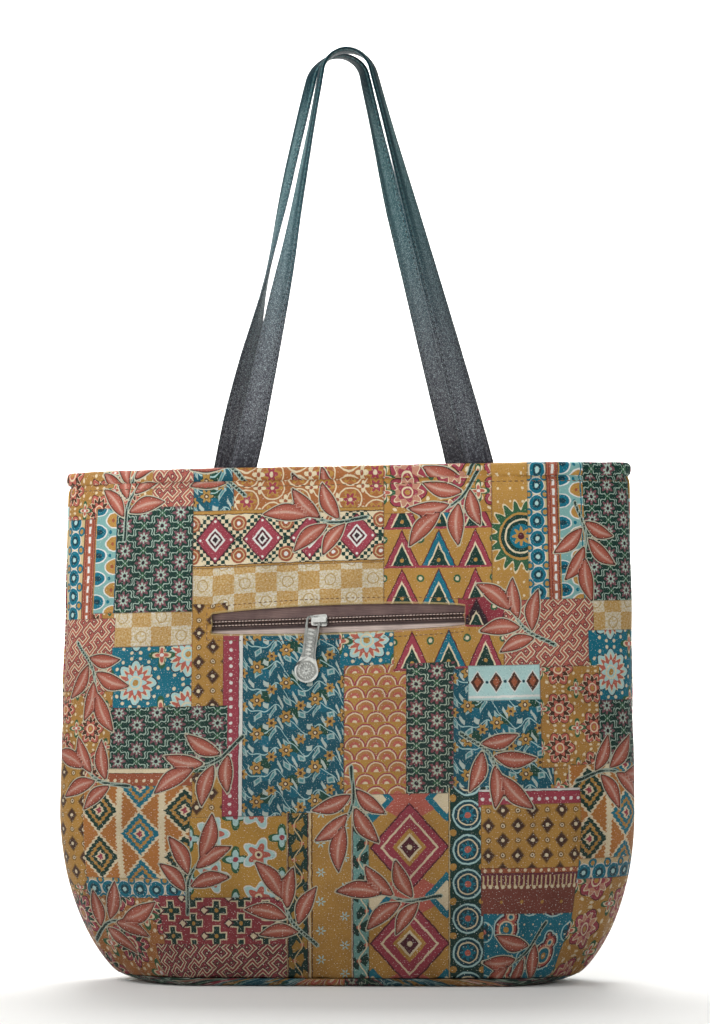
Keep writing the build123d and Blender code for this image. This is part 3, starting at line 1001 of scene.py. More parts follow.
# None starts at the zip
sprigs = [(x, y, way) for x, y, way in sprigs if not (-110 < x < 100 and 215 < y < 268)]


def leaf_places(u, v):
    """For places on the cloth: how far inside a leaf, along it and across it, and how far inside a stem."""
    inside = np.full(u.shape, -50.0)
    along = np.zeros(u.shape)
    across = np.zeros(u.shape)
    stem = np.full(u.shape, -50.0)
    for x, y, way in sprigs:
        c, s = math.cos(math.radians(way)), math.sin(math.radians(way))
        stem_t = (u - x) * c + (v - y) * s
        stem_w = -(u - x) * s + (v - y) * c
        bend = 3.0 * np.sin(math.pi * np.clip(stem_t / sprig_stem, -0.4, 1))
        past = np.maximum(np.maximum(-stem_t - 9.0, stem_t - sprig_stem), 0)
        stem = np.maximum(stem, 1.0 - 0.012 * np.clip(stem_t + 9.0, 0, 40) - np.hypot(past, stem_w - bend))
        for number, (place, lean, length) in enumerate(sprig_leaves):
            c, s = math.cos(math.radians(lean)), math.sin(math.radians(lean))
            from_t = stem_t - place
            from_w = stem_w - 3.0 * math.sin(math.pi * place / sprig_stem)
            t = (from_t * c + from_w * s - 2.2) / length
            bow = 0.07 * length * (1 if number % 2 else -1)
            w = -from_t * s + from_w * c - bow * np.sin(math.pi * np.clip(t, 0, 1))
            swell = np.sin(math.pi * np.clip(t, 0, 1) ** 0.92) ** 1.05
            beyond = np.maximum(np.maximum(-t, t - 1), 0) * length
            depth = np.where(beyond > 0, -np.hypot(beyond, w), (0.17 * length * swell - np.abs(w)) * 0.92)
            nearer = (depth > inside) | (depth > -0.7)
            inside = np.where(nearer, depth, inside)
            along = np.where(nearer, t, along)
            across = np.where(nearer, w, across)
    return np.stack([inside, along, across], axis=1), stem


def corner_points(mesh):
    """The number of the point at every corner of every face."""
    points = np.empty(len(mesh.loops), dtype=np.int32)
    mesh.loops.foreach_get("vertex_index", points)
    return points


def add_map(mesh, name, places):
    """A map with a place for every corner of every face."""
    mesh.uv_layers.new(name=name).uv.foreach_set("vector", places.astype(np.float32).ravel())


def add_values(mesh, name, kind, field, values):
    """An attribute with a value for every point."""
    layer = mesh.attributes.new(name, kind, "POINT")
    layer.data.foreach_set(field, values.astype(np.float32).ravel())


def lay_print(mesh, flat, step, shift=(0.0, 0.0)):
    """Give every face of a flat-laid cloth its patch, and every corner its place within it."""

    def on_print(spots):
        x = (spots[:, 0] + shift[0] + print_wide / 2) % print_wide - print_wide / 2
        y = (spots[:, 1] + shift[1]) % print_tall if shift[1] else spots[:, 1]
        return np.stack([x, y], axis=1)

    starts = np.empty(len(mesh.polygons), dtype=np.int32)
    mesh.polygons.foreach_get("loop_start", starts)
    counts = np.empty(len(mesh.polygons), dtype=np.int32)
    mesh.polygons.foreach_get("loop_total", counts)
    corners = flat[corner_points(mesh)][:, :2]
    middle = np.add.reduceat(corners, starts, axis=0) / counts[:, None]
    wrapped = on_print(middle)
    origin = flat[:, :2].min(axis=0) + np.array(shift)
    patch_of = np.zeros(len(middle), dtype=np.int32)
    bounds = np.empty((len(patches), 4))
    for number, row in enumerate(patches):
        sides = np.array(row[:4], dtype=float).reshape(2, 2)
        sides = origin + np.round((sides - origin) / step) * step
        bounds[number] = sides.reshape(4)
        inside = np.all((wrapped > sides[0]) & (wrapped < sides[1]), axis=1)
        patch_of[inside] = number
    slots = np.array([pattern_number[row[4]] for row in patches], dtype=np.int32)
    mesh.polygons.foreach_set("material_index", slots[patch_of])
    of_corner = np.repeat(patch_of, counts)
    spot = corners + np.repeat(wrapped - middle, counts, axis=0)
    low, high = bounds[of_corner, :2], bounds[of_corner, 2:]
    size = np.maximum(corners.max(axis=0) - corners.min(axis=0), 1e-6)
    add_map(mesh, "OFBake", (corners - corners.min(axis=0)) / size)
    add_map(mesh, "patch", spot - low)
    add_map(mesh, "edge", np.minimum(spot - low, high - spot))
    add_map(mesh, "cloth", corners)
    leaf, stem = leaf_places(*on_print(flat).T)
    add_values(mesh, "leaf", "FLOAT_VECTOR", "vector", leaf)
    add_values(mesh, "stem", "FLOAT", "value", stem)
    add_values(mesh, "folded_lip", "FLOAT", "value", (flat[:, 2] < -0.05) & (flat[:, 2] > -1.0))


print("patches:", len(patches), "sprigs:", len(sprigs))

# %% [markdown]
# ## The form of the bag
# The bag is a lofted shell: at every height its outline has a straight front, swept sides and a rounded
# side seam, and near the floor it draws in to the base. The same sums as in the CAD model find a point of
# that shell from a place on the flat cloth, so cloth can be cut and folded flat and then wrapped onto the
# bag.

# %% Sizes of the bag
body_width = 382.0
body_depth = 90.0
shoulder_height = 112.0
wall_top = 335.0
bottom_seam = 6.0
wall_height = wall_top - bottom_seam
mouth_taper = 8.0
mouth_draw = 28.0
flat_share = 0.56
side_radius = 24.0
radius_draw = 13.0
half_cloth = 210.0
straight_cloth = 92.0
zip_x = -5.0
zip_height = 239.0
quarter = np.linspace(0.0, math.pi / 2, 400)
climb = 0.15 * quarter / (math.pi / 2) + 0.85 * (1 - np.cos(quarter))


# %% Wrapping flat cloth onto the bag
def level(z):
    """Half width, half depth, half flat front and side radius of the bag at a height."""
    above = np.clip((z - shoulder_height) / (wall_top - shoulder_height), 0, None)
    sine = np.sin(np.interp(np.clip(z / shoulder_height, 0, 1), climb, quarter))
    width = (body_width * (0.752 + 0.248 * sine**1.2) - mouth_taper * above) / 2
    depth = (body_depth * (0.640 + 0.360 * sine**0.6) - mouth_draw * above) / 2
    flat = body_width * flat_share / 2 * (0.86 + 0.14 * sine)
    radius = side_radius * (0.90 + 0.10 * sine) - radius_draw * above
    return width, depth, flat, radius


def side_sweep(width, depth, flat, radius):
    """The arc beside the flat front: its radius, how far back its middle lies, and how far it turns."""
    run = width - radius - flat
    sweep_radius = (run**2 + depth**2 - radius**2) / (2 * (depth - radius))
    rise = sweep_radius - depth
    return sweep_radius, rise, np.arctan2(run, rise)


def around(u, z, inset):
    """Place and outward way, seen from above, at a distance round the front from its middle."""
    width, depth, flat, radius = level(z)
    sweep_radius, rise, turn = side_sweep(width, depth, flat, radius)
    bend_end = flat + sweep_radius * turn
    full = bend_end + radius * (math.pi / 2 - turn)
    far = np.abs(u)
    spread = (full - straight_cloth) / (half_cloth - straight_cloth)
    s = np.where(far < straight_cloth, far, straight_cloth + (far - straight_cloth) * spread)
    bend = np.clip((s - flat) / sweep_radius, 0, turn)
    tip = turn + (s - bend_end) / radius
    on_tip = s > bend_end
    way = np.where(on_tip, tip, bend)
    x_bend = np.minimum(s, flat) + (sweep_radius - inset) * np.sin(bend)
    y_bend = rise - (sweep_radius - inset) * np.cos(bend)
    x = np.where(on_tip, width - radius + (radius - inset) * np.sin(tip), x_bend)
    y = np.where(on_tip, -(radius - inset) * np.cos(tip), y_bend)
    return np.sign(u) * x, y, np.sign(u) * np.sin(way), -np.cos(way)


def rim_rise(x, z):
    """The mouth is pulled a little higher on the right, less and less towards the floor."""
    return 0.018 * x * np.clip((z - bottom_seam) / wall_height, 0, 1)


edge_x = around(np.array([half_cloth]), np.array([200.0]), 0.0)[0]
print("half the cloth reaches x =", round(float(edge_x[0]), 1), "at a height of 200")


# %% Meshes and pieces
def mesh_of(name, bm):
    mesh = bpy.data.meshes.new(name)
    bm.to_mesh(mesh)
    bm.free()
    return mesh


def flat_places(mesh):
    flat = np.empty(len(mesh.vertices) * 3, dtype=np.float64)
    mesh.vertices.foreach_get("co", flat)
    return flat.reshape(-1, 3)


def set_places(mesh, places):
    mesh.vertices.foreach_set("co", (np.asarray(places) * MM).astype(np.float32).ravel())
    mesh.update()


def make_piece(name, mesh, materials, body, slot, *nodes):
    """A finished piece: its materials, smooth shading, the body it rides on and the solids it stands for."""
    for material in materials:
        mesh.materials.append(material)
    for face in mesh.polygons:
        face.use_smooth = True
    piece = bpy.data.objects.new(name, mesh)
    bpy.context.collection.objects.link(piece)
    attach(piece, body)
    if nodes:
        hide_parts(*nodes)
    return piece


# %% [markdown]
# ## Front panel
# The front is one cut of printed cloth with a slot for the pocket zip. It is cut as a flat grid, fine
# enough that a patch's border can be moved to the nearest grid line. The slot's faces are deleted, and
# the slot's edge is turned in by extruding it three times, over and then down. Only then is it wrapped,
# with soft hollows, puckers at the seams and a slant.

# %% Cut the front
front_columns, front_rows = 260, 204
slot_left, slot_right, slot_low, slot_high = -88.5, 77.0, 230.0, 248.0
seam_turn = [(0.0, 1.4)]


def cut_cloth(columns, rows, low=bottom_seam, high=wall_top):
    """A flat grid of cloth: across in x, up in y, depth in z."""
    bm = bmesh.new()
    bmesh.ops.create_grid(bm, x_segments=columns, y_segments=rows, size=1.0)
    bmesh.ops.scale(bm, vec=(half_cloth, (high - low) / 2, 1.0), verts=bm.verts)
    bmesh.ops.translate(bm, vec=(0.0, (high + low) / 2, 0.0), verts=bm.verts)
    return bm


def grid_step(columns, rows):
    """Width and height of one face of a whole cut."""
    return np.array([2 * half_cloth / columns, wall_height / rows])


def border_below(bm, height):
    """Border edges that lie below a height on the flat cloth."""
    return [edge for edge in bm.edges if edge.is_boundary and max(v.co.y for v in edge.verts) < height]


def straight_down(co):
    return Vector((0, 0, 0))


def turn_in_edges(bm, edges, steps, inward=straight_down):
    """Fold a cut edge: extrude it again and again, each time moved towards inward(co) and down."""
    for side, drop in steps:
        made = bmesh.ops.extrude_edge_only(bm, edges=edges)["geom"]
        for vert in [item for item in made if isinstance(item, bmesh.types.BMVert)]:
            vert.co += inward(vert.co) * side - Vector((0, 0, drop))
        edges = [item for item in made if isinstance(item, bmesh.types.BMEdge)]


def to_slot_line(co):
    """The way from a place on the slot's edge to the line along its middle."""
    near_x = min(max(co.x, slot_left + 2.0), slot_right - 1.0)
    return (Vector((near_x, zip_height, co.z)) - co).normalized()


front = cut_cloth(front_columns, front_rows)
slot_faces = []
for face in front.faces:
    spot = face.calc_center_median()
    if slot_left < spot.x < slot_right and slot_low < spot.y < slot_high:
        slot_faces.append(face)
bmesh.ops.delete(front, geom=slot_faces, context="FACES")
slot_edges = []
for edge in front.edges:
    spot = (edge.verts[0].co + edge.verts[1].co) / 2
    within = abs(spot.x) < half_cloth - 1.0 and bottom_seam + 1.0 < spot.y < wall_top - 1.0
    if edge.is_boundary and within:
        slot_edges.append(edge)
turn_in_edges(front, slot_edges, [(0.7, 0.1), (0.7, 0.5), (0.3, 2.3)], to_slot_line)
seam_edges = [edge for edge in border_below(front, wall_top - 0.1) if all(v.co.z == 0 for v in edge.verts)]
turn_in_edges(front, seam_edges, seam_turn)
front_mesh = mesh_of("front_cloth", front)
front_flat = flat_places(front_mesh)
print("front cloth faces:", len(front_mesh.polygons))


# %% Hollows and puckers
def wrinkles(u, v, seed):
    """Soft hollows of hanging cloth, longer up and down than across."""
    found = np.empty(len(u))
    for number, (a, b) in enumerate(zip(u, v)):
        broad = noise.noise((a / 62.0, b / 120.0, seed))
        small = noise.noise((a / 24.0, b / 42.0, seed + 7.0))
        found[number] = 2.0 * broad + 0.55 * small
    return found


def bump_at(u, v, x, y, wide, tall):
    return np.exp(-((u - x) / wide) ** 2 - ((v - y) / tall) ** 2)


def outside(value, low, high):
    """How far a value lies outside its limits."""
    return np.maximum(np.maximum(low - value, value - high), 0)


def seam_puckers(u, far, pitch, depth, seed):
    """Little gathers across a seam that die away from it."""
    return depth * np.sin(2 * math.pi * u / pitch + 3.0 * np.sin(u / 31.0 + seed)) * np.exp(-far / 7.0)


def hang(u, v, billow, hollows, seed):
    """How far a hanging wall stands out: one broad billow, and hollows."""
    share = np.clip((v - bottom_seam) / wall_height, 0, 1)
    return billow * np.sin(math.pi * share) * np.cos(math.pi * u / 440.0) + hollows * wrinkles(u, v, seed)


def sewn_edges(depth, u, v, rim_seed, floor_seed, spokes):
    """A wall's depth with gathers at its seams, spokes at the lower corners and its border drawn in."""
    depth = depth + seam_puckers(u, wall_top - v, 13.0, 0.5, rim_seed)
    depth = depth + seam_puckers(u, v - bottom_seam, 15.0, 0.7, floor_seed)
    depth = depth - 1.3 * np.exp(-(((v - (wall_top - 4.0)) / 2.2) ** 2))
    for side in (-1, 1):
        spoke = np.arctan2(v - 4.0, np.maximum(196.0 - side * u, 0.1))
        depth = depth + 1.5 * np.sin(spoke * spokes) * bump_at(u, v, side * 160.0, 38.0, 42.0, 40.0)
    return depth - 1.1 * np.exp(-(half_cloth - np.abs(u)) / 2.0) - 1.0 * np.exp(-(v - bottom_seam) / 1.6)


# %% Shape and wrap the front
row_slope = 0.0349
slope_heights = [bottom_seam, 110.0, zip_height, 300.0, wall_top]
slope_shares = [0.0, 0.5, 1.0, 0.75, 0.516]
full_slope_half = 120.0


def front_depth(u, v):
    """The front lies flatter where the pocket is, and its cloth stands up a little round the slot."""
    pocket = np.clip(1.35 * np.exp(-((u - zip_x) / 118.0) ** 8 - ((v - 214.0) / 52.0) ** 8), 0, 1)
    depth = hang(u, v, 2.6, 1.15, 3.0) * (1 - 0.88 * pocket)
    far_from_slot = np.hypot(outside(u, slot_left, slot_right), outside(v, slot_low, slot_high))
    depth = depth + seam_puckers(u, far_from_slot, 10.5, 0.3, 1.0)
    depth = depth + 0.9 * np.exp(-far_from_slot / 5.0) * np.where(v > zip_height, 1.0, 0.45)
    return sewn_edges(depth, u, v, 2.0, 4.0, 11.0)


def lean_of_rows(x, v):
    """The rows of the cloth climb to the right, most of all along the zip and less towards the sides."""
    past = np.abs(x) - full_slope_half
    x = np.where(past > 0, np.sign(x) * (full_slope_half + past * 0.75), x)
    return row_slope * np.interp(v, slope_heights, slope_shares) * (x - zip_x)


def slot_bow(u, v):
    """The zip slot gapes: its upper edge bows up and its lower edge sags."""
    share = np.clip((u - slot_left) / (slot_right - slot_left), 0, 1)
    bow = np.sin(math.pi * share) ** 0.6
    up = (2.6 * bow - 1.6 * (1 - bow)) * np.exp(-np.abs(v - slot_high) / 22.0)
    down = (1.2 * bow - 1.4 * (1 - bow)) * np.exp(-np.abs(v - slot_low) / 22.0)
    return np.where(v > zip_height, up, -down) * np.exp(-outside(u, slot_left, slot_right) / 12.0)


def wrap_front(flat):
    u, v, fold = flat.T
    z = v + lean_of_rows(around(u, v, 0.0)[0], v) + slot_bow(u, v)
    x, y, out_x, out_y = around(u, np.clip(z, 0, wall_top + 4), 0.0)
    depth = front_depth(u, v) + fold
    return np.stack([x + out_x * depth, y + out_y * depth, z], axis=1)


set_places(front_mesh, wrap_front(front_flat))
lay_print(front_mesh, front_flat, grid_step(front_columns, front_rows))
front_cloth = make_piece("front_cloth", front_mesh, print_materials, "bag", "printed_cloth", "front_panel")

# %% [markdown]
# ## Back panel
# The back is cut from the same cloth further along its repeat, so the same patches come in other places.
# The wrap is turned half round the upright axis, with hollows of its own.

# %% Back panel
back_columns, back_rows = 200, 156
back = cut_cloth(back_columns, back_rows)
turn_in_edges(back, border_below(back, wall_top - 0.1), seam_turn)
back_mesh = mesh_of("back_cloth", back)
back_flat = flat_places(back_mesh)


def wrap_back(flat):
    u, v, fold = flat.T
    x, y, out_x, out_y = around(u, v, 0.0)
    depth = sewn_edges(hang(u, v, 2.8, 1.3, 41.0), u, v, 5.0, 1.0, 10.0) + fold
    x, y = -(x + out_x * depth), -(y + out_y * depth)
    return np.stack([x, y, v + rim_rise(x, v)], axis=1)


set_places(back_mesh, wrap_back(back_flat))
lay_print(back_mesh, back_flat, grid_step(back_columns, back_rows), shift=(150.0, 110.0))
back_cloth = make_piece("back_cloth", back_mesh, print_materials, "bag", "printed_cloth", "back_panel")
print("back cloth faces:", len(back_mesh.polygons))

# %% [markdown]
# ## Base
# The base is a shallow dish: flat where the bag stands, turned up at the bottom seam. Each row of its
# grid is as long as the outline is wide there, so the grid's own border is the seam.

# %% Base panel
base_half = 150.0
base_columns, base_rows = 150, 40
rim_width, rim_depth, rim_flat, rim_radius = (float(value) for value in level(np.array(bottom_seam)))


def base_half_length(y):
    """How far the outline at the bottom seam reaches sideways at a depth."""
    sweep_radius, rise, turn = side_sweep(rim_width, rim_depth, rim_flat, rim_radius)
    y = np.abs(y)
    tip = rim_width - rim_radius + np.sqrt(np.maximum(rim_radius**2 - y**2, 0))
    bend = rim_flat + np.sqrt(np.maximum(sweep_radius**2 - (y + rise) ** 2, 0))
    return np.where(y < rim_radius * math.cos(turn), tip, bend)


base = bmesh.new()
bmesh.ops.create_grid(base, x_segments=base_columns, y_segments=base_rows, size=1.0)
bmesh.ops.scale(base, vec=(base_half, rim_depth, 1.0), verts=base.verts)
base_mesh = mesh_of("base_cloth", base)
base_flat = flat_places(base_mesh)
share_x, share_y = base_flat[:, 0] / base_half, base_flat[:, 1] / rim_depth
near_rim = np.maximum(np.abs(share_x), np.abs(share_y))
base_x = share_x * base_half_length(base_flat[:, 1])
base_z = 0.15 + (bottom_seam - 0.6) * np.clip((near_rim - 0.80) / 0.2, 0, 1) ** 2.2
inner = 1 - 0.012 * np.clip((near_rim - 0.9) / 0.1, 0, 1)
set_places(base_mesh, np.stack([base_x * inner, base_flat[:, 1] * inner, base_z], axis=1))
base_mesh.flip_normals()
base_step = np.array([2 * base_half / base_columns, 2 * rim_depth / base_rows])
lay_print(base_mesh, base_flat, base_step, shift=(40.0, 200.0))
base_cloth = make_piece("base_cloth", base_mesh, print_materials, "bag", "printed_cloth", "base_panel")
print("base cloth faces:", len(base_mesh.polygons))

# %% [markdown]
# ## Rolled edge of the mouth
# The top edge is the same cloth rolled over, about as thick as a pencil, and sewn down. A long grid is
# bent round its short way into the roll's section and round its long way along the mouth.

# %% Rolled edge
roll_columns = 560
roll_row = 1.7
roll_section = np.array(
    [
        (0.2, -3.6), (-1.0, -2.4), (-1.6, 0.2), (-1.4, 2.8), (-0.4, 4.5), (0.8, 5.2), (2.0, 4.7),
        (3.2, 4.1), (4.4, 4.6), (5.6, 4.9), (6.5, 3.8), (6.8, 1.4), (6.3, -1.5),
    ]
)
roll_rows = len(roll_section) - 1
roll = bmesh.new()
bmesh.ops.create_grid(roll, x_segments=roll_columns, y_segments=roll_rows, size=1.0)
bmesh.ops.scale(roll, vec=(2 * half_cloth, roll_rows / 2, 1.0), verts=roll.verts)
bmesh.ops.translate(roll, vec=(half_cloth, roll_rows / 2, 0.0), verts=roll.verts)
roll_mesh = mesh_of("rolled_edge", roll)
roll_flat = flat_places(roll_mesh)


def wrap_roll(flat):
    """Each row of the grid is a point of the section; past half the cloth the roll runs along the back."""
    u, row = flat[:, 0], np.clip(np.round(flat[:, 1]).astype(int), 0, roll_rows)
    inset, lift = roll_section[row].T
    on_back = u > half_cloth
    local = np.where(on_back, u - 2 * half_cloth, u)
    wobble = 0.35 * np.sin(u / 9.0 + 2.0 * np.sin(u / 37.0)) + 0.2 * np.sin(u / 3.7)
    x, y = around(local, np.full(len(u), wall_top), inset - 0.5 * wobble)[:2]
    x, y = np.where(on_back, -x, x), np.where(on_back, -y, y)
    return np.stack([x, y, wall_top + lift + 0.3 * wobble * (lift > 0) + rim_rise(x, wall_top)], axis=1)


set_places(roll_mesh, wrap_roll(roll_flat))
roll_print = np.stack([roll_flat[:, 0], 322.0 + roll_flat[:, 1] * roll_row, roll_flat[:, 2]], axis=1)
lay_print(roll_mesh, roll_print, np.array([4 * half_cloth / roll_columns, roll_row]))
rolled_edge = make_piece("rolled_edge", roll_mesh, print_materials, "bag", "printed_cloth", "mouth_binding")
print("rolled edge faces:", len(roll_mesh.polygons))

# %% [markdown]
# ## Facings and lining
# Inside the mouth a band of the printed cloth, the facing, is sewn to a plain lining that hangs loose
# below it. Both are the same wrap with the cloth drawn in from the outside by the lining's gap, and the
# lining's bottom edge is extruded across the floor until front and back meet.

# %% Plain cloth for the lining
lining_cloth, start = new_material("lining_cloth")
u, v = map_of(start, "cloth")
slub = start.mottle(spot_at(u, v), 0.35, 5.0)
lining_colour = slub.ramp((0.3, "4E3A34"), (0.75, "6F5548"))
finish_with(start, lining_colour, 0.6 + slub * 0.2, weave_bump(u, v, 0.8, 0.3), sheen_weight=0.15)


def inner_inset(z):
    """How far the lining hangs inside the outer face: most at the shoulder, least at the mouth."""
    low = 5.6 + 7.0 * np.clip(z / shoulder_height, 0, 1)
    high = 12.6 - 7.8 * (z - shoulder_height) / (wall_top - shoulder_height)
    return np.where(z < shoulder_height, low, high)


def wrap_inside(flat, behind, extra, seed):
    u, v, fold = flat.T
    ripple = 0.8 * np.array([noise.noise((a / 40.0, b / 70.0, seed)) for a, b in zip(u, v)])
    ripple = ripple * np.clip((wall_top - 4.0 - v) / 60.0, 0, 1)
    x, y = around(u, v, inner_inset(v) + extra + 0.8 - ripple)[:2]
    if behind:
        x, y = -x, -y
    return np.stack([x, y * (1 - fold), v + rim_rise(x, v)], axis=1)


# %% Facings and linings
def plain_maps(mesh, flat):
    add_map(mesh, "cloth", flat[corner_points(mesh)][:, :2])


facing_columns, facing_rows = 190, 18
facing_foot = 299.0
facing_step = np.array([2 * half_cloth / facing_columns, 2.0])
lining_foot = 2.6
foot_folds = [(0.0, -0.2)] * 5
for name, behind, print_shift, seed in (("front", False, 260.0, 17.0), ("back", True, 90.0, 11.0)):
    facing = cut_cloth(facing_columns, facing_rows, facing_foot, wall_top + 1.0)
    facing_mesh = mesh_of(f"{name}_facing_cloth", facing)
    facing_flat = flat_places(facing_mesh)
    set_places(facing_mesh, wrap_inside(facing_flat, behind, 0.3, 5.0))
    facing_mesh.flip_normals()
    lay_print(facing_mesh, facing_flat, facing_step, shift=(print_shift, 60.0))
    facing_piece = make_piece(
        f"{name}_facing_cloth", facing_mesh, print_materials, "bag", "printed_cloth", f"{name}_facing"
    )

    lining = cut_cloth(120, 84, lining_foot, facing_foot + 0.6)
    turn_in_edges(lining, border_below(lining, lining_foot + 0.1), foot_folds)
    lining_mesh = mesh_of(f"{name}_lining_cloth", lining)
    lining_flat = flat_places(lining_mesh)
    set_places(lining_mesh, wrap_inside(lining_flat, behind, 0.0, seed))
    lining_mesh.flip_normals()
    plain_maps(lining_mesh, lining_flat + np.array([0, 1, 0]) * lining_flat[:, 2:3] * -30)
    lining_piece = make_piece(
        f"{name}_lining_cloth", lining_mesh, [lining_cloth], "bag", "lining_cloth", f"{name}_lining"
    )
print("facings and linings hung")

# %% [markdown]
# ## Straps
# Each handle is one strap of grained leatherette, folded and sewn near both edges, so its section is
# crowned in the middle and dips along the seams. It rises from inside the wall, turns about a quarter
# round on its way up and bends over the top. The strap is a grid whose short way goes round the section
# and whose long way follows the arch. Two tables shape it: turns has, at shares of a leg's length,
# how much of a quarter turn is done, and sways has, at shares of the whole strap, how many millimetres it
# lies to the right.

# %% Way of a strap
wall_lean = math.atan2(mouth_draw / 2, wall_top - shoulder_height)
mouth_half_depth = (body_depth - mouth_draw) / 2
handle_span = 160.0
handle_height = 285.0
crown_radius = 18.5
crown_lift = handle_height / math.cos(wall_lean) - crown_radius
crown_steps = 24
strap_half = 9.0
strap_seam = 6.6
strap_depth = 3.2
strap_tail = 34.0
strap_step = 2.4
turn_start = 8.0
soft_rows = 15
strap_shifts = {"front": (9.0, -1.0), "back": (4.0, 9.5)}
leg_foot = ((0.00, 0.00), (0.12, 0.16))
turns = {
    "front_left": (*leg_foot, (0.27, 0.28), (0.46, 0.46), (0.62, 0.68), (0.90, 0.84)),
    "front_right": (*leg_foot, (0.27, 0.30), (0.46, 0.46), (0.70, 0.64), (0.90, 0.80)),
    "back_left": (*leg_foot, (0.27, 0.30), (0.46, 0.46), (0.70, 0.56), (0.90, 0.74)),
    "back_right": (
        (0.00, 0.00), (0.12, 0.20), (0.27, 0.50), (0.40, 0.84),
        (0.50, 1.04), (0.70, 1.28), (0.90, 1.30),
    ),
}
sways = {
    "front": ((0.0, 0.0), (0.08, 2.4), (0.25, 3.4), (0.40, 1.6), (0.5, 0.0), (0.9, 0.4), (1.0, 0.0)),
    "back": (
        (0.0, 0.0), (0.08, 1.0), (0.30, 0.0), (0.44, 2.6),
        (0.54, 3.2), (0.66, 0.6), (0.9, -1.0), (1.0, 0.0),
    ),
}


def half_way(shift, crown_x, side, shares):
    """Points in the wall's plane from tail to crown, each with the way along, the way out and the turn."""
    reach_x = handle_span / 2 + side * (shift - crown_x)
    slant = math.hypot(reach_x, crown_lift)
    lean = math.asin(reach_x / slant) - math.asin(crown_radius / slant)
    length = slant * math.cos(math.asin(crown_radius / slant))

    def ways(angle):
        way = np.array([-side * math.sin(angle), math.cos(angle)])
        return way, np.array([side * math.cos(angle), math.sin(angle)])

    rows = []
    foot = np.array([shift + side * handle_span / 2, 0.0])
    way, out = ways(lean)
    for distance in np.arange(-strap_tail, length, strap_step):
        share = max(0.0, (distance - turn_start) / (length - turn_start))
        rows.append((*(foot + way * distance), *way, *out, np.interp(share, *zip(*shares))))
    last_turn = shares[-1][1]
    for share in np.linspace(0.0, 1.0, crown_steps):
        way, out = ways(lean + (math.pi / 2 - lean) * share)
        spot = np.array([crown_x, crown_lift]) + out * crown_radius
        rows.append((*spot, *way, *out, last_turn + (1 - last_turn) * share))
    return np.array(rows)


def strap_way(which):
    """Points along the middle of a strap, and there the ways along, across and out of its face."""
    flip = 1 if which == "front" else -1
    left = half_way(*strap_shifts[which], -1, turns[f"{which}_left"])
    right = half_way(*strap_shifts[which], 1, turns[f"{which}_right"])[::-1].copy()
    right[:, 2:4] *= -1
    rows = np.vstack([left[:-1], right])
    side = np.array([flip, 0.0, 0.0])
    up = np.array([0.0, flip * math.sin(wall_lean), math.cos(wall_lean)])
    out_of_wall = np.array([0.0, -flip * math.cos(wall_lean), math.sin(wall_lean)])
    foot = np.array([0.0, -flip * mouth_half_depth, wall_top]) - out_of_wall * strap_depth
    padded = np.pad(rows[:, 6], soft_rows // 2, mode="edge")
    turn = np.convolve(padded, np.ones(soft_rows) / soft_rows, mode="valid") * math.pi / 2
    points = foot + rows[:, :1] * side + rows[:, 1:2] * up
    points[:, 0] += np.interp(np.linspace(0, 1, len(rows)), *zip(*sways[which]))
    along = rows[:, 2:3] * side + rows[:, 3:4] * up
    out = rows[:, 4:5] * side + rows[:, 5:6] * up
    face = out_of_wall * np.cos(turn)[:, None] + out * np.sin(turn)[:, None]
    return points, np.cross(face, along), face


# %% Leatherette
leatherette, start = new_material("leatherette")
u, v = map_of(start, "strap")
place = spot_at(u, v)
grain = start.node("ShaderNodeTexVoronoi", {"feature": "DISTANCE_TO_EDGE"}, {"Vector": place, "Scale": 0.95})
creases = start.mottle(place, 0.5, 6.0)
rise = ((start.above_floor() - 0.34) / 0.28).math("ADD", (creases - 0.5) * 0.25, clamp=True)
# Painted reflection: from grey-plum at the feet the colour turns dark teal towards the crown, a cast of teal
# light and not the strap's own colour.
strap_inks = ((0.0, "3A393F"), (0.3, "4A4A52"), (0.58, "2A5760"), (0.85, "083A43"), (1.0, "022A33"))
strap_colour = rise.ramp(*strap_inks)
# Painted highlight: a paler teal-grey laid down the middle of each leg where light glances off it.
highlight_colour = rise.ramp((0.15, "85848C"), (0.45, "8A9FA4"), (0.75, "7FB0B2"))
midway = (rise * 3.4).math("MULTIPLY", (0.93 - rise) * 3.2, clamp=True)
painted_leg_highlight = (1 - v * v * 0.02).math("MULTIPLY", (creases - 0.12) * 1.3, clamp=True)
strap_colour = strap_colour.under(highlight_colour, painted_leg_highlight * midway * 0.8)
# Painted glints: pale flecks on the tops of the grain cells, up the middle of the legs.
strap_colour = strap_colour.under(ink("C3D2D2"), (grain - 0.2).mask(0.25) * midway * (creases - 0.1))
# Painted shade: one half of the strap's width darkens to deep teal higher up, as the side turned from the
# light.
shaded_half = (-2.0 - v).mask(2.2) * (rise - 0.3).math("MULTIPLY", 2.0, clamp=True)
strap_colour = strap_colour.under(ink("06343D"), shaded_half * 0.9)
strap_colour = strap_colour.under(ink("A7B2B5"), (abs(v) - (strap_half - 0.25)).mask(0.3) * midway * 0.35)
# Painted highlight: pale lines along both seams.
strap_colour = strap_colour.under(highlight_colour, (0.8 - abs(abs(v) - strap_seam)).mask(0.8) * 0.45)
strap_colour = strap_colour.under(ink("1D2024"), (0.10 - grain).mask(0.1) * 0.4)
strap_height = grain.math("MULTIPLY", 2.2, clamp=True) * 0.6 + creases * 0.4
strap_bump = strap_height.bump(0.7, 0.0005)
finish_with(start, strap_colour, 0.4 + creases * 0.24, strap_bump, specular_ior_level=0.08)


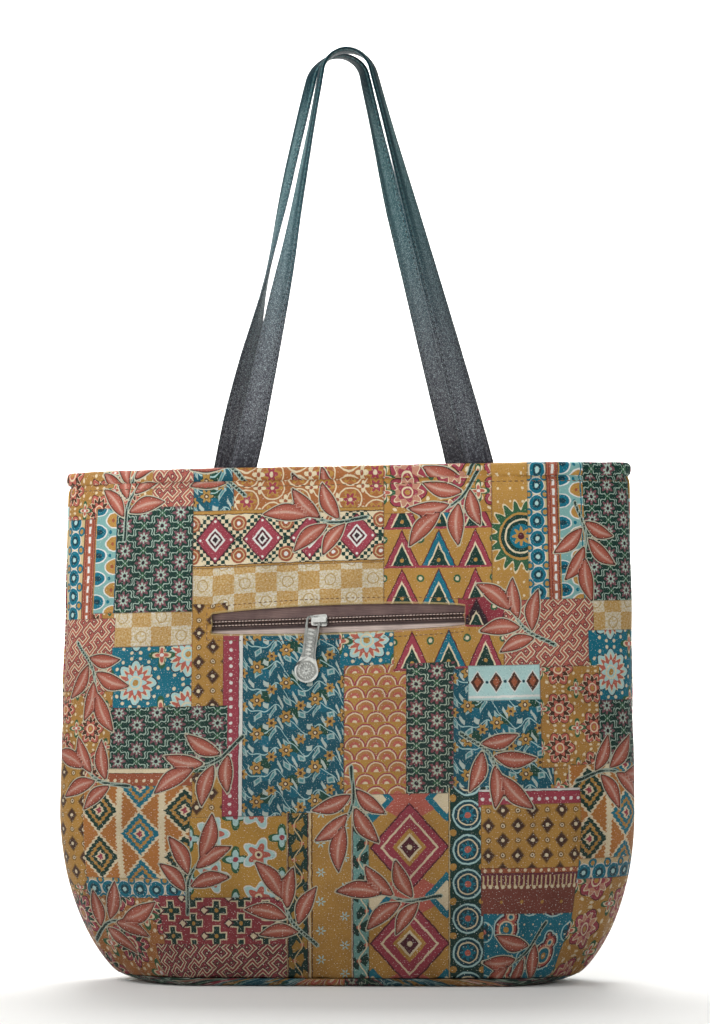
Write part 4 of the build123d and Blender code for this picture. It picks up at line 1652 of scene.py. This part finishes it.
# %% Thread
def thread_of(name, dark, light):
    """Twisted thread that varies between two inks."""
    material, start = new_material(name)
    twist = start.mottle(start.on_object(), 900.0, 2.0)
    finish_with(start, twist.ramp((0.3, dark), (0.8, light)), 0.5 + twist * 0.2, None, sheen_weight=0.2)
    return material


strap_thread = thread_of("strap_thread", "0C0E10", "1E2226")
cloth_thread = thread_of("cloth_thread", "4E3322", "9A7444")
zip_thread = thread_of("zip_thread", "C4A89C", "EEDACE")


# %% [markdown]
# Stitches are long beads half sunk in the cloth. One helper walks along any line and sets a bead every
# few millimetres, turned along the line, so straps, rim and zip all use it.


# %% Stitching helper
def round_bead(name, segments, rings):
    """A mesh of one round bead, and its points."""
    bead = bmesh.new()
    bmesh.ops.create_uvsphere(bead, u_segments=segments, v_segments=rings, radius=1.0)
    mesh = mesh_of(name, bead)
    return mesh, flat_places(mesh)


def beads_at(bm, bead, middles, sides, ups, alongs):
    """Add one bead to a mesh for every place, stretched along three given ways."""
    mesh, shape = bead
    for middle, side, up, along in zip(middles, sides, ups, alongs):
        places = middle + shape[:, :1] * side + shape[:, 1:2] * up + shape[:, 2:3] * along
        mesh.vertices.foreach_set("co", places.astype(np.float32).ravel())
        bm.from_mesh(mesh)


def lengths_along(points):
    """How far along a line of points each of them lies."""
    steps = np.linalg.norm(np.diff(points, axis=0), axis=1)
    return np.concatenate([[0.0], np.cumsum(steps)])


def sew(bm, points, out, stitch, gap, thick):
    """Beads along a line of points, each lying in the surface whose outward ways are given."""
    run = lengths_along(points)
    middles = np.arange(stitch / 2, run[-1] - stitch / 2, stitch + gap)

    def on_line(at, rows):
        return np.stack([np.interp(at, run, rows[:, k]) for k in range(3)], axis=1)

    along = on_line(middles + stitch / 2, points) - on_line(middles - stitch / 2, points)
    along = along / np.linalg.norm(along, axis=1)[:, None]
    side = np.cross(on_line(middles, out), along)
    side = side / np.linalg.norm(side, axis=1)[:, None]
    up = np.cross(along, side)
    beads_at(bm, stitch_bead, on_line(middles, points), side * thick, up * thick * 0.8, along * stitch / 2)
    return len(middles)


def bead_piece(name, bm, material, slot, *nodes):
    """A piece of the bag made of beads that were placed in millimetres."""
    mesh = mesh_of(name, bm)
    set_places(mesh, flat_places(mesh))
    return make_piece(name, mesh, [material], "bag", slot, *nodes)


stitch_bead = round_bead("stitch_bead", 6, 4)

# %% Straps and their seams
under_share = 0.85
half_section = [-strap_half, -8.85, -8.3, -7.6, -7.0, -6.5, -6.0, -5.0, -3.0, 0.0]
strap_across = half_section + [-c for c in half_section[-2::-1]]
tail_rows = int(strap_tail / strap_step)


def strap_rise(c):
    """How far the strap's face stands off its middle: crowned, dipped at the seams, rounded at the edges."""
    edge = math.sqrt(max(0.0, 1 - (abs(c) / strap_half) ** 6))
    crown = 0.85 + 0.8 * (1 - (c / strap_half) ** 2)
    return edge * (crown - 0.42 * math.exp(-((abs(c) - strap_seam) / 0.55) ** 2))


section = [(c, strap_rise(c)) for c in strap_across]
section += [(c, -under_share * strap_rise(c)) for c in strap_across[-2:0:-1]]
section = np.array([*section, section[0]])
for which in ("front", "back"):
    points, across, face = strap_way(which)
    strap = bmesh.new()
    bmesh.ops.create_grid(strap, x_segments=len(points) - 1, y_segments=len(section) - 1, size=1.0)
    strap_mesh = mesh_of(f"{which}_strap", strap)
    flat = flat_places(strap_mesh)
    row = np.round((flat[:, 0] + 1) / 2 * (len(points) - 1)).astype(int)
    ring = np.round((flat[:, 1] + 1) / 2 * (len(section) - 1)).astype(int)
    soft = 1 + 0.05 * np.sin(row * 0.21) + 0.04 * np.sin(row * 0.083 + 1.0)
    lift = section[ring, 1:2] * soft[:, None]
    set_places(strap_mesh, points[row] + across[row] * section[ring, :1] + face[row] * lift)
    run = lengths_along(points)
    add_map(strap_mesh, "strap", np.stack([run[row], section[ring, 0]], axis=1)[corner_points(strap_mesh)])
    merge = bmesh.new()
    merge.from_mesh(strap_mesh)
    bmesh.ops.remove_doubles(merge, verts=merge.verts, dist=0.000001)
    bmesh.ops.holes_fill(merge, edges=[edge for edge in merge.edges if edge.is_boundary])
    bmesh.ops.recalc_face_normals(merge, faces=merge.faces)
    merge.to_mesh(strap_mesh)
    merge.free()
    make_piece(f"{which}_strap", strap_mesh, [leatherette], "bag", "strap", f"{which}_handle")
    seams = bmesh.new()
    count = 0
    shown = slice(tail_rows, -tail_rows)
    for c in (-strap_seam, strap_seam):
        for side, share in ((1, 1.0), (-1, under_share)):
            line = points + across * c + face * (side * share * (strap_rise(c) - 0.12))
            count += sew(seams, line[shown], (face * side)[shown], 2.2, 1.5, 0.62)
    bead_piece(f"{which}_strap_seams", seams, strap_thread, "strap")
    print(which, "strap:", round(run[-1]), "mm long,", count, "stitches")

# %% [markdown]
# ## Zip
# The zip lies a few millimetres behind the slot: two woven tapes, a row of teeth sewn to each, stops at
# the ends, and a slider with its pull. All of it is modelled in the zip's own directions, along, up and
# outward, and one helper puts such a place into the frame of the bag.

# %% Directions of the zip
lean_cos, lean_sin = math.cos(wall_lean), math.sin(wall_lean)
sideways = np.array([1.0, 0.0, 0.0])
wall_up = np.array([0.0, lean_sin, lean_cos])
zip_out = np.array([0.0, -lean_cos, lean_sin])
tilt = math.radians(2.0)
zip_along = math.cos(tilt) * sideways + math.sin(tilt) * wall_up
zip_up = math.cos(tilt) * wall_up - math.sin(tilt) * sideways
zip_middle = np.array([zip_x, -float(level(np.array(zip_height))[1]), zip_height])
zip_frame = Matrix(np.stack([zip_along, zip_up, zip_out], axis=1).tolist()).to_4x4()
zip_frame.translation = Vector(zip_middle)


def zip_places(local):
    return zip_middle + local[:, :1] * zip_along + local[:, 1:2] * zip_up + local[:, 2:3] * zip_out


# %% Zip tape and its weave
tape_cloth, start = new_material("zip_tape")
u, v = map_of(start, "cloth")
ribs = (v * (2 * math.pi / 1.15)).sine() * 0.5 + (u * (2 * math.pi / 0.8)).sine() * 0.25
stain = start.mottle(spot_at(u, v), 0.06, 3.0)
tape_colour = stain.ramp((0.3, "6C5350"), (0.7, "947872"))
# Painted highlight: the lower tape is made paler than the upper, as if lit from above.
below = (-4.4 - v).mask(1.2)
tape_colour = tape_colour.under(ink("EAD5CA"), below * (stain + 0.35).math("MULTIPLY", 0.9, clamp=True))
# Painted shadow: a dark line along the lower tape just below the chain.
tape_colour = tape_colour.under(ink("2C1E1E"), (0.9 - abs(v + 3.6)).mask(0.8) * 0.8)
tape_colour = tape_colour.under(ink("3A2A2A"), (0.2 - ribs).mask(0.6) * 0.3)
finish_with(start, tape_colour, 0.55 + stain * 0.2, ribs.bump(0.6, thread_depth), sheen_weight=0.2)

tape_half_length = 89.5
tape_half_width = 6.0
tape_gap = 0.9
tape_out = -3.2
chain_edge = 4.2
for name, side, swell in (("upper", 1, 0.5), ("lower", -1, 1.5)):
    tape = bmesh.new()
    bmesh.ops.create_grid(tape, x_segments=140, y_segments=16, size=1.0)
    bmesh.ops.scale(tape, vec=(tape_half_length, tape_half_width, 1.0), verts=tape.verts)
    bmesh.ops.translate(tape, vec=(0.0, side * (tape_gap + tape_half_width), 0.0), verts=tape.verts)
    tape_mesh = mesh_of(f"zip_tape_{name}_cloth", tape)
    tape_flat = flat_places(tape_mesh)
    away = np.abs(tape_flat[:, 1]) - tape_gap
    ripple = 0.25 * np.sin(tape_flat[:, 0] / 5.5 + side) * np.clip((away - chain_edge) / 3.0, 0, 1)
    pillow = swell * np.sin(math.pi * np.clip((away - chain_edge) / 6.4, 0, 1)) ** 1.2
    outward = tape_out + ripple - 0.02 * away + pillow
    set_places(tape_mesh, zip_places(np.stack([tape_flat[:, 0], tape_flat[:, 1], outward], axis=1)))
    plain_maps(tape_mesh, tape_flat)
    tape_piece = make_piece(
        f"zip_tape_{name}_cloth", tape_mesh, [tape_cloth], "bag", "zip_tape", f"zip_tape_{name}"
    )

# %% [markdown]
# The teeth are the turns of a coil: each lies across the tape with its head towards the gap between two
# neighbours of the other row. A round bead, stretched across the tape and leant a little, reads as such a
# turn. A cord of beads behind the teeth and a row of pale stitches over them finish each row.

# %% Teeth and stitches of the chain
coil, start = new_material("zip_coil")
speck = start.mottle(start.on_object(), 400.0, 3.0)
coil_colour = speck.ramp((0.35, "20110F"), (0.75, "543A33"))
finish_with(start, coil_colour, 0.3 + speck * 0.2, None, specular_ior_level=0.5)

tooth_pitch = 2.2
tooth_count = 75
tooth_thick = 0.62
tooth_long = 1.35
line_points = 160
tooth_bead = round_bead("zip_tooth", 8, 6)


def zip_line(half_length, up, out):
    """A straight line of points along the zip, and the outward way at each."""
    steps = np.linspace(-half_length, half_length, line_points)
    points = np.stack([steps, np.full(line_points, up), np.full(line_points, out)], axis=1)
    return points, np.tile([0.0, 0.0, 1.0], (line_points, 1))


for name, side in (("upper", 1), ("lower", -1)):
    teeth = bmesh.new()
    number = np.arange(tooth_count) - (tooth_count - 1) / 2
    tooth_x = side * tooth_pitch / 4 + number * tooth_pitch
    places = np.stack([tooth_x, np.full(tooth_count, side * 1.1), np.full(tooth_count, -2.45)], axis=1)
    lean = side * 0.12
    ways = [
        (tooth_thick * math.cos(lean), tooth_thick * math.sin(lean), 0.0),
        (0.0, 0.0, tooth_thick),
        (-tooth_long * math.sin(lean), tooth_long * math.cos(lean), 0.0),
    ]
    beads_at(teeth, tooth_bead, places, *[np.tile(way, (tooth_count, 1)) for way in ways])
    sew(teeth, *zip_line(84.5, side * 2.0, -2.7), 2.1, 0.1, 0.5)
    bmesh.ops.transform(teeth, matrix=zip_frame, verts=teeth.verts)
    bead_piece(f"zip_coil_{name}", teeth, coil, "zip_teeth", f"zip_teeth_{name}")
    rows = bmesh.new()
    sew(rows, *zip_line(86.0, side * 1.3, -1.92), 1.9, 0.3, 0.36)
    bmesh.ops.transform(rows, matrix=zip_frame, verts=rows.verts)
    bead_piece(f"zip_stitches_{name}", rows, zip_thread, "zip_tape")
print("teeth in each row:", tooth_count)

# %% [markdown]
# The metal parts keep the solids' own form: a merged copy of each solid gets small rounded edges, which
# catch the light as cast and polished metal does.

# %% Cast metal
pull_lean = math.radians(9.5)
pull_down = -math.sin(pull_lean) * zip_along - math.cos(pull_lean) * zip_up
pull_side = math.cos(pull_lean) * zip_along - math.sin(pull_lean) * zip_up
pull_places = flat_places(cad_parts["zip_pull"].data) / MM
round_radius = 7.8
round_middle = pull_places[np.argmax(pull_places @ pull_down)] - round_radius * pull_down
pearl_count = 18


def rosette_relief(start, spot):
    """The pull's cast ornament as heights: a rim, a ring of pearls, a plain rosette and bars up the neck."""

    def along(way):
        settings = {"operation": "DOT_PRODUCT"}
        length = start.node("ShaderNodeVectorMath", settings, {0: spot, 1: Vector(way)}, out="Value")
        return length / MM - float(round_middle @ way)

    x, y = along(pull_side), along(-pull_down)
    far = reach(x, y)
    share = (y.math("ARCTAN2", x) * (pearl_count / 2 / math.pi)).math("FRACT")
    pearls = disc(share * 1.7 - 0.85, far - 4.7, 0.62).mask(0.5)
    heart = bloom(x, y, 2.4, 0.7, 8).mask(0.5) - disc(x, y, 0.7).mask(0.4)
    rim = (far - 6.4).mask(0.5)
    neck = (y - 8.6).mask(0.6)
    bars = lozenge(x, (y - 17.75).repeat(2.6), 2.6, 1.1).mask(0.6)
    lines = band(abs(x) - 3.1, 0.5).mask(0.5)
    on_round = pearls.most(heart).most(rim)
    return on_round * (1 - neck) + neck * (bars.most(lines))


def cast_metal_of(name, ornament):
    material, start = new_material(name)
    spot = start.on_object()
    pits = start.mottle(spot, 1800.0, 4.0)
    haze = start.mottle(spot, 260.0, 3.0)
    colour = haze.ramp((0.3, "A5A6A1"), (0.75, "D6D6D0"))
    height = pits * 0.3
    if ornament:
        raised = rosette_relief(start, spot)
        # Painted shade: the low parts of the cast ornament are darkened.
        colour = colour.under(ink("6A6B66"), (1 - raised) * 0.62)
        height = raised + pits * 0.2
    finish_with(start, colour, 0.26 + haze * 0.25, height.bump(0.6, 0.0004), metallic=0.95)
    return material


cast_metal = cast_metal_of("cast_metal", False)
pull_metal = cast_metal_of("pull_metal", True)


# %% [markdown]
# Where the pull's neck runs into its round end, it widens along an arc that touches both. The neck's long
# edges are cut into short ones first, and then every point of the outline is moved out to the arc.


# %% Slider, pull and stops
flare_arc = 26.0
flare_start_half = 4.2
neck_half = 4.0
neck_spread = 0.7
neck_length = 27.7


def flare_neck(bm):
    arc_x = flare_start_half + flare_arc
    arc_y = math.sqrt((round_radius + flare_arc) ** 2 - arc_x**2)
    touch_y = arc_y * round_radius / (round_radius + flare_arc)
    long_edges = [edge for edge in bm.edges if edge.calc_length() > 12 * MM]
    bmesh.ops.subdivide_edges(bm, edges=long_edges, cuts=30, use_grid_fill=True)
    moved = 0
    for vert in bm.verts:
        from_middle = np.array(vert.co) / MM - round_middle
        x, y = from_middle @ pull_side, -(from_middle @ pull_down)
        on_neck = abs(abs(x) - neck_half - neck_spread * y / neck_length) < 0.1
        on_round = abs(math.hypot(x, y) - round_radius) < 0.1
        if touch_y < y < arc_y and (on_neck or on_round):
            flared = arc_x - math.sqrt(flare_arc**2 - (y - arc_y) ** 2)
            if flared > abs(x):
                vert.co += Vector(pull_side * math.copysign(flared - abs(x), x)) * MM
                moved += 1
    print("points moved to the flare:", moved)


def rounded_copy(node, body, metal, width, reshape=None):
    """A copy of a solid with its sharp edges rounded, which stands for it; wide faces are shaded flat."""
    bm = bmesh.new()
    bm.from_mesh(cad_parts[node].data)
    bmesh.ops.remove_doubles(bm, verts=bm.verts, dist=1e-6)
    bmesh.ops.dissolve_limit(bm, angle_limit=math.radians(4), verts=bm.verts, edges=bm.edges)
    if reshape:
        reshape(bm)
    sharp = [edge for edge in bm.edges if edge.is_manifold and edge.calc_face_angle() > math.radians(35)]
    how = {"affect": "EDGES", "segments": 2, "profile": 0.5, "material": -1, "clamp_overlap": True}
    bmesh.ops.bevel(bm, geom=sharp, offset=width * MM, **how)
    mesh = mesh_of(f"{node}_metal", bm)
    make_piece(f"{node}_metal", mesh, [metal], body, "zip_metal", node)
    for face in mesh.polygons:
        face.use_smooth = face.area < 6.0 * MM**2


rounded_copy("zip_slider", "slider", cast_metal, 0.22)
rounded_copy("zip_pull", "pull", pull_metal, 0.28, flare_neck)
rounded_copy("zip_bottom_stop", "bag", cast_metal, 0.2)
rounded_copy("zip_top_stops", "bag", cast_metal, 0.2)

# %% [markdown]
# ## Pocket and top stitching
# The pocket behind the zip is a flat bag of lining cloth. The seams that show on the outside, under the
# rolled edge and round the slot, are sewn last, on the wrapped cloth itself.

# %% Pocket pouch
pouch_half_width = 91.5
pouch_half_height = 66.0
pouch_up = -53.5
pouch_out = -3.9
pouch = bmesh.new()
bmesh.ops.create_grid(pouch, x_segments=46, y_segments=33, size=1.0)
bmesh.ops.scale(pouch, vec=(pouch_half_width, pouch_half_height, 1.0), verts=pouch.verts)
bmesh.ops.translate(pouch, vec=(0.0, pouch_up, pouch_out), verts=pouch.verts)
back_layer = bmesh.ops.duplicate(pouch, geom=pouch.verts[:] + pouch.edges[:] + pouch.faces[:])["geom"]
for vert in [item for item in back_layer if isinstance(item, bmesh.types.BMVert)]:
    from_side = (pouch_half_width - abs(vert.co.x)) / 8
    from_end = (pouch_half_height - abs(vert.co.y - pouch_up)) / 8
    vert.co.z -= 0.4 + 2.6 * math.sin(max(min(from_side, from_end, 1.0), 0.0) * math.pi / 2)
bmesh.ops.reverse_faces(pouch, faces=[item for item in back_layer if isinstance(item, bmesh.types.BMFace)])
bmesh.ops.bridge_loops(pouch, edges=[edge for edge in pouch.edges if edge.is_boundary])
pouch_mesh = mesh_of("pocket_cloth", pouch)
pouch_flat = flat_places(pouch_mesh)
set_places(pouch_mesh, zip_places(pouch_flat))
plain_maps(pouch_mesh, pouch_flat)
pocket_cloth = make_piece("pocket_cloth", pouch_mesh, [lining_cloth], "bag", "lining_cloth", "pocket_pouch")

# %% Top stitching
rim_seam = 327.5
rim_points, slot_points, end_points = 320, 150, 24
seam_off = 2.6
end_off = 3.0


def on_wall(wrap, flip, u, v):
    """Places on a wrapped wall, and the outward way at each."""
    level_way = np.zeros(len(u))
    out_x, out_y = around(u, v, 0.0)[2:]
    out = np.stack([flip * out_x, flip * out_y, level_way], axis=1)
    return wrap(np.stack([u, v, level_way], axis=1)), out


top_seams = bmesh.new()
count = 0
rim_u, rim_v = np.linspace(-206.0, 206.0, rim_points), np.full(rim_points, rim_seam)
for wrap, flip in ((wrap_front, 1), (wrap_back, -1)):
    count += sew(top_seams, *on_wall(wrap, flip, rim_u, rim_v), 2.8, 1.1, 0.4)
for seam_v in (slot_high + seam_off, slot_low - seam_off):
    slot_u = np.linspace(slot_left - end_off, slot_right + end_off, slot_points)
    count += sew(top_seams, *on_wall(wrap_front, 1, slot_u, np.full(slot_points, seam_v)), 2.4, 1.0, 0.36)
for seam_u in (slot_left - end_off, slot_right + end_off):
    slot_v = np.linspace(slot_low - seam_off, slot_high + seam_off, end_points)
    count += sew(top_seams, *on_wall(wrap_front, 1, np.full(end_points, seam_u), slot_v), 2.4, 1.0, 0.36)
bead_piece("top_stitching", top_seams, cloth_thread, "printed_cloth")
print("top stitches:", count)
